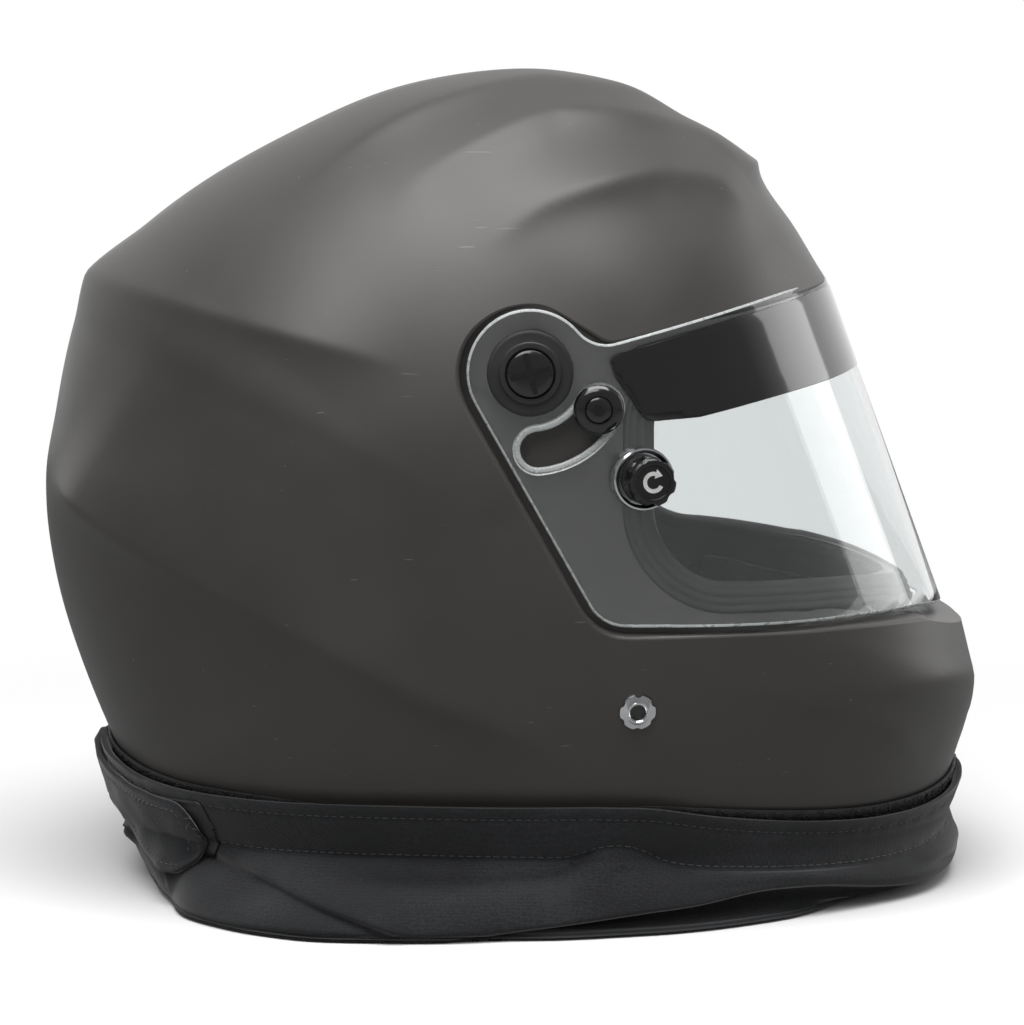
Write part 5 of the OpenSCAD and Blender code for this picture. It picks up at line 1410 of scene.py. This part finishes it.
# %% The hook tape
tape_top = around(hem_top, turns_round) + around(tape_show, turns_round)
tape_low = np.full_like(tape_top, 32.6)
tape_loops = [round_rim(turns_round, o, z) for o, z in ((0.3, tape_low), (0.3, tape_top - 1.0),
    (0.35, tape_top - 0.15), (0.8, tape_top),
    (1.4, tape_top - 0.1), (1.6, tape_top - 0.5), (1.6, tape_low))]
points, faces = loft([*tape_loops, tape_loops[0]])
tape = new_piece("tape_strip", points, faces, 50)

hooks_tree, given = new_tree("hooks on a tape", {"Density": "Float", "Seed": "Int", "Radius": "Float",
    "Wire": "Float", "Material": "Material"})
spread = node(hooks_tree, "GeometryNodeDistributePointsOnFaces",
    {"Mesh": given["Geometry"], "Density": given["Density"], "Seed": given["Seed"]})
bend = node(hooks_tree, "GeometryNodeCurveArc", {"Radius": given["Radius"]},
    values={"Resolution": 5, "Sweep Angle": np.radians(220)})
stood = node(hooks_tree, "GeometryNodeTransform", {"Geometry": bend.outputs["Curve"]},
    values={"Rotation": (np.pi / 2, 0, 0)})
ring = node(hooks_tree, "GeometryNodeCurvePrimitiveCircle", {"Radius": given["Wire"]}, values={"Resolution": 3})
wire = node(hooks_tree, "GeometryNodeCurveToMesh", {"Curve": stood.outputs["Geometry"],
    "Profile Curve": ring.outputs["Curve"]}, values={"Fill Caps": True})
spin = node(hooks_tree, "FunctionNodeRandomValue", {"Seed": given["Seed"]}, values={2: 0.0, 3: 6.283},
    data_type="FLOAT")
euler = node(hooks_tree, "ShaderNodeCombineXYZ", {"Z": spin.outputs[1]})
turned_round = node(hooks_tree, "FunctionNodeRotateRotation",
    {"Rotation": spread.outputs["Rotation"], "Rotate By": euler.outputs["Vector"]}, rotation_space="LOCAL")
hooked = node(hooks_tree, "GeometryNodeInstanceOnPoints",
    {"Points": spread.outputs["Points"], "Instance": wire.outputs["Mesh"],
    "Rotation": turned_round.outputs["Rotation"]})
finish_tree(hooks_tree, hooked, given)

face_top = around(hem_top, round_at) + around(tape_show, round_at)
shown = around(tape_show, round_at) > 0.4
low_face, high_face = round_rim(round_at, 1.6, around(hem_top, round_at) - 0.8), round_rim(round_at, 1.6,
    face_top - 0.5)
bed_faces = [(i, (i + 1) % n, n + (i + 1) % n, n + i) for i in range(n) if shown[i] and shown[(i + 1) % n]]
bed = new_piece("tape_hooks", np.vstack([low_face, high_face]), bed_faces, recalc=False)
side_out = sum(f.normal.xy.dot(f.center.xy) for f in bed.data.polygons)
if side_out < 0:
    bed.data.flip_normals()
hooks = run_tree("tape_hooks", bed, hooks_tree, Density=1.05e6, Seed=4, Radius=0.42 * MM, Wire=0.13 * MM,
    Material=finishes["hook_pile"])
print("hook tape:", len(tape.data.polygons), "faces, hooks", len(hooks.data.polygons))

# %% [markdown]
# At the back the skirt closes with a tab that laps over itself: a flat end of the same cloth, with a
# sewn border, a rounded tip and a patch of hooks behind it. A few loose threads hang from its tip.

# %% The tab
def cloth_out(b, z):
    """How far the cloth's outer face stands out at directions b and heights z."""
    b, z = np.broadcast_arrays(np.asarray(b, float), np.asarray(z, float))
    face = slice(row_of(5), row_of(18))
    result = np.empty(b.shape)
    for i in np.ndindex(b.shape):
        col = (b[i] % 360) / STEP_ROUND
        c, f = int(col), col - int(col)
        pair = [np.interp(z[i], up[face, k % n][::-1], out[face, k % n][::-1]) for k in (c, c + 1)]
        result[i] = pair[0] * (1 - f) + pair[1] * f
    return result


def strip_edges(b, tip, upper, lower, round_from):
    """Upper and lower edge of a flat end whose tip is rounded."""
    high, low = np.interp(b, *np.transpose(upper)), np.interp(b, *np.transpose(lower))
    shut = np.sqrt(np.clip(1 - (np.clip(b - round_from, 0, None) / (tip - round_from)) ** 3.4, 0, 1))
    mid, half = (high + low) / 2, (high - low) / 2
    return mid + half * shut, mid - half * shut


def lapped(name, start, tip, upper, lower, round_from, off, wall, bulge=0.0):
    """A flat end that follows the cloth below it, off by a gap: the piece, its directions and its offsets."""
    along = np.append(np.linspace(start, round_from, 40, endpoint=False),
        round_from + (tip - round_from) * np.sin(np.linspace(0, np.pi / 2, 12)))
    high, low = strip_edges(along, tip, upper, lower, round_from)
    v = np.linspace(0, 1, 17)[:, None]
    z, b = low + (high - low) * v, np.broadcast_to(along, (17, len(along)))
    o = cloth_out(b, z) + off
    crown = bulge * (1 - (2 * v - 1) ** 6) + 0.25 * np.sin(b * 0.9) * np.sin(v * 7)
    smooth_o = o
    for _ in range(6):
        smooth_o = np.concatenate([smooth_o[:, :1],
            (smooth_o[:, :-2] + 2 * smooth_o[:, 1:-1] + smooth_o[:, 2:]) / 4, smooth_o[:, -1:]], 1)
    o = np.maximum(smooth_o, o) + crown
    loops = [round_rim(b[k], o[k], z[k]) for k in range(17)]
    points, faces = loft(loops, around=False)
    piece = new_piece(name, points, faces, 60)
    if sum(f.normal.xy.dot(f.center.xy) for f in piece.data.polygons) < 0:
        piece.data.flip_normals()
    return thickened(piece, wall, 1.0), along, o


tab_upper = [(176, 48.2), (185, 47.5), (195, 43.5), (205, 40.0), (212, 38.5), (219, 37.6)]
tab_lower = [(176, 25), (190, 24), (198, 22), (206, 15), (212, 12), (219, 13)]
tab_form = (176, 218, tab_upper, tab_lower, 213)
tab, tab_b, tab_o = lapped("closing_tab", *tab_form, 1.3, 1.5, 0.5)
patch, _, _ = lapped("tab_hooks", 190, 220.4, [(190, 37), (220.4, 39.6)], [(190, 19), (220.4, 19)], 218.5, 0.15,
    0.9)


def over_tab(b, z):
    """Points just over the tab's outer face at directions b and heights z."""
    high, low = strip_edges(b, *tab_form[1:])
    level = np.clip((z - low) / (high - low), 0, 1) * (len(tab_o) - 1)
    column = np.interp(b, tab_b, np.arange(len(tab_b)))
    stands = []
    for i in range(len(b)):
        at_column = [np.interp(column[i], np.arange(len(tab_b)), row) for row in tab_o]
        stands.append(np.interp(level[i], np.arange(len(tab_o)), at_column))
    return round_rim(b, np.array(stands) + 1.55, z)


def on_tab(b, inset, edge):
    high, low = strip_edges(b, *tab_form[1:])
    return over_tab(b, high - inset if edge > 0 else low + inset)


HEM = 3.2  # from the tab's edge to its border seam
border_b = np.linspace(177, 215.6, 60)
edge_high, edge_low = strip_edges(border_b[-1:], *tab_form[1:])
down = np.linspace(edge_high[0] - HEM, edge_low[0] + HEM, 12)[1:-1]
border = np.vstack([on_tab(border_b, HEM, 1), over_tab(np.full(len(down), border_b[-1]), down),
    on_tab(border_b[::-1], HEM, -1)])
turns = np.array([[206.5, 35.5], [213.6, 35], [209, 26.5], [206.5, 35.5]])
corner = np.vstack([over_tab(*np.linspace(a, b, 8, endpoint=False).T)
    for a, b in zip(turns[:-1], turns[1:])] + [over_tab(*turns[-1:].T)])
tab_thread = sewn_lines("tab_stitches", [border, corner], 2.6, 1.9, 0.5, "thread")
print("tab:", len(tab.data.polygons), "patch:", len(patch.data.polygons), "stitches:",
    len(tab_thread.data.polygons))

# %% Loose threads
def threads(name, starts, radius, seed):
    """Short curled threads as tubes of four sides."""
    rng, shapes = np.random.default_rng(seed), []
    for start, way in starts:
        p, way = np.array(start, float), np.array(way, float)
        line = [p]
        for _ in range(7):
            way = way + rng.normal(0, 0.35, 3) + [0, 0, -0.12]
            way /= np.linalg.norm(way)
            line.append(line[-1] + way * 0.5)
        line = np.array(line)
        rings = []
        for k, q in enumerate(line):
            d = line[min(k + 1, 7)] - line[max(k - 1, 0)]
            d /= np.linalg.norm(d)
            s = np.cross(d, [0.3, 0.2, 0.93])
            s /= np.linalg.norm(s)
            t = np.cross(d, s)
            rings.append([q + radius * (np.cos(a) * s + np.sin(a) * t)
                for a in (0, np.pi / 2, np.pi, 1.5 * np.pi)])
        shapes.append(loft(rings, ("flat", "flat")))
    return joined(name, [new_piece("thread", *shape) for shape in shapes], 60)


tip = [round_rim(np.array([b]), np.interp(b, tab_b, np.max(tab_o, 0)) + 1.2, z)[0] for b, z in
    ((217.4, 33), (217.8, 31.5), (217.8, 29.5), (217.6, 27))]
frays = threads("loose_threads", [(p, (0.3, -0.6, -0.2 + 0.15 * k)) for k, p in enumerate(tip)], 0.11, 11)
print("loose threads:", len(frays.data.polygons), "faces")

# %% [markdown]
# ## The linings
# Crown liner, cheek pads, neck roll and chin pad are foam sewn into knitted cloth. Each starts from a
# copy of its plain form in the frame, remeshed evenly, and a cloth simulation blows it up a little, as
# the foam does from inside. How far a point may move is capped, and what would push into its neighbour
# is put back. Seams and channels are pressed in afterwards, because the remesh would swallow them.

# %% Swell a form of the frame
def mesh_points(mesh):
    p = np.empty(len(mesh.vertices) * 3)
    mesh.vertices.foreach_get("co", p)
    return p.reshape(-1, 3) / MM


def set_points(mesh, p):
    mesh.vertices.foreach_set("co", (np.asarray(p) * MM).ravel())
    mesh.update()


def mesh_normals(mesh):
    v = np.empty(len(mesh.vertices) * 3)
    mesh.vertex_normals.foreach_get("vector", v)
    return v.reshape(-1, 3)


def swollen(name, form, voxel, shrink, cap, keep_clear):
    mesh = frame["nodes"][form].data.copy()
    finish_mesh(mesh, 180, False)
    piece = bpy.data.objects.new(name, mesh)
    scene.collection.objects.link(piece)
    step = piece.modifiers.new("even", "REMESH")
    step.mode, step.voxel_size, step.use_smooth_shade = "VOXEL", voxel * MM, True
    mesh = applied(piece)
    start = mesh_points(mesh) - shrink * mesh_normals(mesh)
    set_points(mesh, start)
    cloth = piece.modifiers.new("swell", "CLOTH")
    cloth.settings.use_pressure = True
    cloth.settings.uniform_pressure_force = 4.0
    cloth.settings.effector_weights.gravity = 0
    cloth.settings.quality = 5
    cloth.point_cache.frame_start, cloth.point_cache.frame_end = 1, 20
    for at in range(1, 21):
        scene.frame_set(at)
    mesh = applied(piece)
    scene.frame_set(1)
    gone = mesh_points(mesh) - start
    size = np.linalg.norm(gone, axis=1, keepdims=True)
    set_points(mesh, start + gone * np.minimum(1, cap / np.maximum(size, 1e-6)))
    set_points(mesh, keep_clear(mesh_points(mesh)))
    step = piece.modifiers.new("fine", "SUBSURF")
    step.levels = step.render_levels = 1
    mesh = applied(piece)
    print(name + ":", len(mesh.polygons), "faces")
    return piece


def pressed(piece, depth):
    """Moves points in along their normals by depth(points, normals), in mm."""
    mesh = piece.data
    p, v = mesh_points(mesh), mesh_normals(mesh)
    set_points(mesh, p - v * depth(p, v)[:, None])
    mesh.shade_smooth()


def groove(distance, width, deep):
    return deep * np.exp(-((distance / width) ** 2))


# %% [markdown]
# The crown liner lies in the foam's hollow, an oval dome. Its own face has sewn channels from front to
# back, so that air passes, and one across.

# %% Crown liner
DOME, DOME_R = np.array([-22, 0, 163.5]), np.array([102, 84, 92.0])


def under_dome(p):
    room = DOME_R - 0.6
    d = (p - DOME) / room
    size = np.linalg.norm(d, axis=1, keepdims=True)
    return DOME + d * room * np.minimum(1, 1 / np.maximum(size, 1e-6))


crown_pad = swollen("crown_pad", "crown_liner", 3.6, 0.5, 3.0, under_dome)


def crown_seams(p, v):
    d = p - DOME
    inner = np.clip(-np.sum(v * d, 1) / np.linalg.norm(d, axis=1), 0, 1)
    side = np.degrees(np.arctan2(d[:, 1], d[:, 2])) * 1.5
    deep = sum(groove(side - at, 2.6, 2.0) for at in (-99, -60, -20, 20, 60, 99))
    deep = deep + groove(d[:, 0] + 8 - 0.1 * np.abs(d[:, 1]), 2.6, 1.8) + groove(d[:, 0] - 46, 2.4, 1.4)
    return inner * np.minimum(deep, 2.2)


pressed(crown_pad, crown_seams)

# %% [markdown]
# The cheek pads fill the space between the cheeks and the foam. Each is cut from a flat face with a
# sewn edge, a border seam inside it and one seam across.

# %% Cheek pads
CHEEK = np.array([[-34, 58], [-16, 48], [20, 44], [54, 46], [66, 58], [69, 76], [67, 90], [58, 102], [44, 110],
    [36, 124],
    [22, 138], [-6, 144], [-30, 136], [-44, 112], [-45, 82]])


def from_edge(p, outline):
    """Distance of side view points from a closed outline."""
    best = np.full(len(p), 1e9)
    for a, b in zip(outline, np.roll(outline, -1, 0)):
        best = np.minimum(best, off_segment(p, a, b - a)[2])
    return best


def cheek_seams(p, v):
    face = np.clip(-v[:, 1] * np.sign(p[:, 1]), 0, 1)
    deep = groove(from_edge(p[:, [0, 2]], CHEEK) - 9, 1.8, 1.7)
    deep = np.maximum(deep, groove((p[:, 2] - 92 - 0.35 * (p[:, 0] - 10)) * 0.94, 1.9, 1.8))
    return face * deep


def cheek_room(side):
    def clear(p):
        y = np.clip(p[:, 1] * side, 69.5, 103.6) * side
        return np.column_stack([p[:, 0], y, p[:, 2]])
    return clear


cheeks = [swollen("cheek_pad_" + name + "_soft", "cheek_pad_" + name, 4.5, 1.6, 5.0, cheek_room(side))
    for name, side in (("right", -1), ("left", 1))]
for cheek in cheeks:
    pressed(cheek, cheek_seams)

# %% [markdown]
# The neck roll is a thick pad round the back, and the chin pad lines the chin bar. The chin pad's
# cloth is darker. Both have sewn channels across.

# %% Neck roll and chin pad
def behind_wall(gap, low, high):
    """Keeps points inside the shell's inner wall, and between two heights."""
    def clear(p):
        d = p - MID
        k = oval(d, gap) ** (1 / OVAL)
        q = MID + d * np.minimum(1, 1 / k)[:, None]
        q[:, 2] = np.clip(q[:, 2], low, high)
        return q
    return clear


roll = swollen("neck_roll_soft", "neck_roll", 4.5, 1.6, 5.0, behind_wall(16.2, 34.4, 77.5))


def roll_seams(p, v):
    b = np.degrees(np.arctan2(p[:, 1], p[:, 0] + 22)) % 360
    inner = np.clip(-(v[:, 0] * (p[:, 0] + 22) + v[:, 1] * p[:, 1]) / np.hypot(p[:, 0] + 22, p[:, 1]), 0, 1)
    across = sum(groove((b - at) * 1.7, 2.4, 2.2) for at in (138, 159, 180, 201, 222))
    return inner * np.minimum(across + groove(p[:, 2] - 70, 1.6, 1.2), 2.3)


pressed(roll, roll_seams)
chin_pad = swollen("chin_pad", "chin_bar_liner", 4.5, 1.2, 3.5, behind_wall(4.4, 34.4, 106.5))


def chin_seams(p, v):
    b = np.degrees(np.arctan2(p[:, 1], p[:, 0] - 60))
    inner = np.clip(-(v[:, 0] * (p[:, 0] - 60) + v[:, 1] * p[:, 1]) / np.maximum(np.hypot(p[:, 0] - 60,
        p[:, 1]), 1), 0, 1)
    return inner * np.minimum(sum(groove((b - at) * 1.3, 2.2, 1.6)
        for at in (-50, -20, 20, 50)) + groove(p[:, 2] - 50, 1.8, 1.4), 1.8)


pressed(chin_pad, chin_seams)

# %% [markdown]
# The chin strap's halves are flat webbing: each loops through its bracket behind the pad, comes back
# on itself, and hangs inside the rim. A flat strap is swept along its path, as it can't be simulated.

# %% Webbing
STRAP_WALL = 1.7
BRACKET_AT, SLOT_UP = 1.2 - 4 - 5, 5 - 23
HANG_IN = ANCHOR_SEAT - half_width(ANCHOR[0], RIM) + 8
straps = []
for side, name, end in ((1, "right", -42), (-1, "left", -44)):
    path = [[2.1, -9], [1.5, -6.6], [-1.2, -6.4], [-2.1, -4.6], [-2.1, -1.6], [-0.9, -0.1], [1.1, -0.1],
        [3, -2.4], [4.2, -8]]
    path += [[f * HANG_IN, z] for f, z in ((0.16, -15), (0.32, -20.5), (0.62, -26), (0.86, -33), (1, end))]
    line = spaced(through(path, 5), 1.2)
    way = np.gradient(line, axis=0)
    way /= np.linalg.norm(way, axis=1, keepdims=True)
    out_side = np.column_stack([way[:, 1], -way[:, 0]])
    gone = np.concatenate([[0], np.cumsum(np.hypot(*np.diff(line, axis=0).T))])
    loops, weave = [], []
    for i in range(len(line)):
        ring = []
        for x, s in ((-12.3, -0.5), (-12.5, 0), (-12.3, 0.5), (-8, 0.5), (0, 0.5), (8, 0.5), (12.3, 0.5),
            (12.5, 0), (12.3, -0.5), (8, -0.5), (0, -0.5), (-8, -0.5)):
            bow = 0.25 * np.cos(x / 12.5 * np.pi / 2) * np.sin(gone[i] / 9)
            q = line[i] + out_side[i] * (s * STRAP_WALL + bow)
            ring.append((x, SLOT_UP + q[1], BRACKET_AT - 0.75 - q[0]))
        loops.append(ring)
    points, faces = loft(loops, ("flat", "flat"))
    flip = np.diag([1, side, 1, 1]).astype(float)
    strap = new_piece("strap_webbing_" + name, put(points, flip @ anchor_at), faces, 50)
    uv = strap.data.uv_layers.new(name="weave")
    back = np.linalg.inv(flip @ anchor_at)
    for loop in strap.data.loops:
        x, y, z = put(np.array(strap.data.vertices[loop.vertex_index].co)[None] / MM, back)[0]
        q = np.array([BRACKET_AT - 0.75 - z, y - SLOT_UP])
        i = int(np.argmin(np.hypot(*(line - q).T)))
        uv.data[loop.index].uv = (gone[i] * MM, x * MM)
    straps.append(strap)
    print(strap.name + ":", len(strap.data.polygons), "faces,", round(float(gone[-1]), 1), "mm long")

# %% [markdown]
# ## What moves with what
# Every piece rides on a body of the frame, stands for the plain solids it replaces, and names the
# slot that it takes its finish from.

# %% Bodies, replaced forms and finishes
hand_over = [
    (shell, "helmet", ("outer_shell",), "shell_paint"), (visor, "visor", ("visor",), "visor_clear"),
    (strip, "visor", ("sun_strip",), "strip_film"), (seal, "helmet", ("eyeport_seal",), "seal_rubber"),
    (pivot_washers, "helmet", ("pivot_washers",), "black_nylon"),
    (pivot_screws, "helmet", ("pivot_screws",), "gloss_black"),
    (guide_washers, "helmet", ("guide_washers",), "gloss_black"),
    (guide_screws, "helmet", ("guide_screws",), "gloss_black"),
    (terminals, "helmet", ("anchor_terminals",), "bright_metal"),
    (posts[0], "visor", ("post_base_right",), "bright_metal"),
    (posts[1], "visor", ("post_base_left",), "bright_metal"),
    (knobs[0], "knob_right", ("post_knob_right",), "knob_black"),
    (knobs[1], "knob_left", ("post_knob_left",), "knob_black"),
    (marks[0], "knob_right", (), "mark"), (marks[1], "knob_left", (), "mark"),
    (skirt, "helmet", ("skirt_band", "skirt_cloth"), "skirt_cloth"), (stitches, "helmet", (), "thread"),
    (trim, "helmet", ("rim_trim",), "seal_rubber"), (tape, "helmet", ("hook_tape",), "hook_pile"),
    (hooks, "helmet", (), "hook_pile"),
    (tab, "helmet", ("skirt_tab",), "skirt_cloth"), (patch, "helmet", (), "hook_pile"),
    (tab_thread, "helmet", (), "thread"), (frays, "helmet", (), "thread"),
    (crown_pad, "helmet", ("crown_liner",), "lining_cloth"),
    (cheeks[0], "helmet", ("cheek_pad_right",), "lining_cloth"),
    (cheeks[1], "helmet", ("cheek_pad_left",), "lining_cloth"),
    (roll, "helmet", ("neck_roll",), "lining_cloth"),
    (chin_pad, "helmet", ("chin_bar_liner",), "chin_cloth"),
    (straps[0], "helmet", ("chin_strap_right",), "webbing"),
    (straps[1], "helmet", ("chin_strap_left",), "webbing")]
for piece, body, nodes, slot in hand_over:
    piece.data.materials.clear()
    piece.data.materials.append(finishes[slot])
    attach(piece, body)
    if nodes:
        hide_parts(*nodes)
visor.data.materials.append(finishes["visor_edge"])
for face in visor.data.polygons:
    face.material_index = int(face.loop_total == 4)  # the faces of the sheet are triangles, its edges quads
carried = {"foam_liner": "liner_foam", "pivot_inserts": "brass", "pivot_bushes": "black_nylon",
    "guide_inserts": "brass", "guide_sleeves": "steel", "anchor_nuts": "steel", "strap_brackets": "steel"}
for name, slot in carried.items():
    kept = frame["nodes"][name]
    if not kept.material_slots:
        kept.data.materials.append(None)
    for place in kept.material_slots:
        place.material = finishes[slot]
print("pieces:", len(hand_over), "carried over:", len(carried))

# %% [markdown]
# ## Floor, light and camera
# The photograph was taken almost level with the helmet, square to its right side. The ground here
# is white to the camera and through the visor; it keeps the shadow and sends back little light.

# %% Floor and lamps
AMBIENT = 0.28  # the even light from all round
SHADOW_TO, WHITE_FROM = 0.24, 0.6  # metres from the middle: the floor is plain up to one, white from the other
FLOOR_BOUNCE = 0.3  # what the floor sends back on to the helmet, as the grey floor of the photograph does
corners = np.array([[-4000, -3000, 0], [4000, -3000, 0], [4000, 4000, 0], [-4000, 4000, 0]])
floor = new_piece("floor", corners, [(0, 1, 2, 3)], recalc=False)
clay = bpy.data.materials.new("pale studio floor")
clay.use_nodes = True
tree = clay.node_tree
ground = tree.nodes["Principled BSDF"]
ground.inputs["Roughness"].default_value = 0.9
place = node(tree, "ShaderNodeTexCoord").outputs["Object"]
far_off = node(tree, "ShaderNodeVectorMath", {0: place}, operation="LENGTH")
fade = node(tree, "ShaderNodeMapRange", {"Value": far_off.outputs["Value"]},
    values={"From Min": SHADOW_TO, "From Max": WHITE_FROM}, interpolation_type="SMOOTHSTEP")
sight = node(tree, "ShaderNodeLightPath").outputs
bounce = node(tree, "ShaderNodeMapRange", {"Value": sight["Is Camera Ray"]},
    values={"To Min": FLOOR_BOUNCE, "To Max": 0.87})
tree.links.new(bounce.outputs["Result"], ground.inputs["Base Color"])
seen = node(tree, "ShaderNodeMath", {0: sight["Is Camera Ray"], 1: sight["Is Transmission Ray"]},
    operation="MAXIMUM")
white = node(tree, "ShaderNodeMath", {0: seen.outputs[0], 1: fade.outputs["Result"]}, operation="MULTIPLY")
glow = node(tree, "ShaderNodeEmission", values={"Color": (1, 1, 1, 1), "Strength": 1.0})
both = node(tree, "ShaderNodeMixShader", {0: white.outputs[0], 1: ground.outputs["BSDF"],
    2: glow.outputs["Emission"]})
tree.links.new(both.outputs["Shader"], tree.nodes["Material Output"].inputs["Surface"])
floor.data.materials.append(clay)

# %% The white backdrop
world = bpy.data.worlds.new("studio")
scene.world = world
world.use_nodes = True
tree = world.node_tree
air = tree.nodes["Background"]
air.inputs["Color"].default_value = (1, 1, 1, 1)
sight = node(tree, "ShaderNodeLightPath").outputs
# The backdrop stands behind the helmet (+Y); the room behind the camera is dim
way = node(tree, "ShaderNodeSeparateXYZ", {0: node(tree, "ShaderNodeTexCoord").outputs["Generated"]})
behind = node(tree, "ShaderNodeMapRange", {"Value": way.outputs["Y"]},
    values={"From Min": -0.1, "From Max": 0.35, "To Min": 0.1, "To Max": 1.0})
glossy = node(tree, "ShaderNodeMath", {0: sight["Is Glossy Ray"], 1: behind.outputs["Result"]},
    operation="MULTIPLY")
seen = node(tree, "ShaderNodeMath", {0: sight["Is Camera Ray"], 1: sight["Is Transmission Ray"]},
    operation="MAXIMUM")
seen = node(tree, "ShaderNodeMath", {0: seen.outputs[0], 1: glossy.outputs[0]}, operation="MAXIMUM")
level = node(tree, "ShaderNodeMath", {0: seen.outputs[0]}, values={1: AMBIENT}, operation="MAXIMUM")
tree.links.new(level.outputs[0], air.inputs["Strength"])


def lamp(name, place, target, size, power):
    data = bpy.data.lights.new(name, "AREA")
    data.shape, data.size, data.size_y, data.energy = "RECTANGLE", size[0], size[1], power
    made = bpy.data.objects.new(name, data)
    made.location = place
    made.rotation_euler = (Vector(target) - Vector(place)).to_track_quat("-Z", "Y").to_euler()
    scene.collection.objects.link(made)


lamp("top softbox", (0.0, -0.45, 1.5), (0, 0, 0.15), (1.4, 0.9), 27)
lamp("front fill", (-0.5, -1.5, 1.6), (0, 0, 0.13), (1.2, 0.8), 12.5)
lamp("side strip", (1.8, 0.7, 0.7), (0, 0, 0.15), (0.9, 1.2), 6)

# %% The camera
EYE_AWAY, EYE_ABOVE, LOOK_AT = 1.1, 6, 0.13  # metres away, degrees above, and the height looked at
camera = bpy.data.cameras.new("photo view")
camera.sensor_fit, camera.sensor_height, camera.lens = "VERTICAL", 36, 104.7
eye = bpy.data.objects.new("photo view", camera)
above = np.radians(EYE_ABOVE)
eye.location = (0, -EYE_AWAY * np.cos(above), LOOK_AT + EYE_AWAY * np.sin(above))
eye.rotation_euler = (np.radians(90 - EYE_ABOVE), 0, 0)
scene.collection.objects.link(eye)
scene.camera = eye
scene.view_settings.view_transform = "Standard"
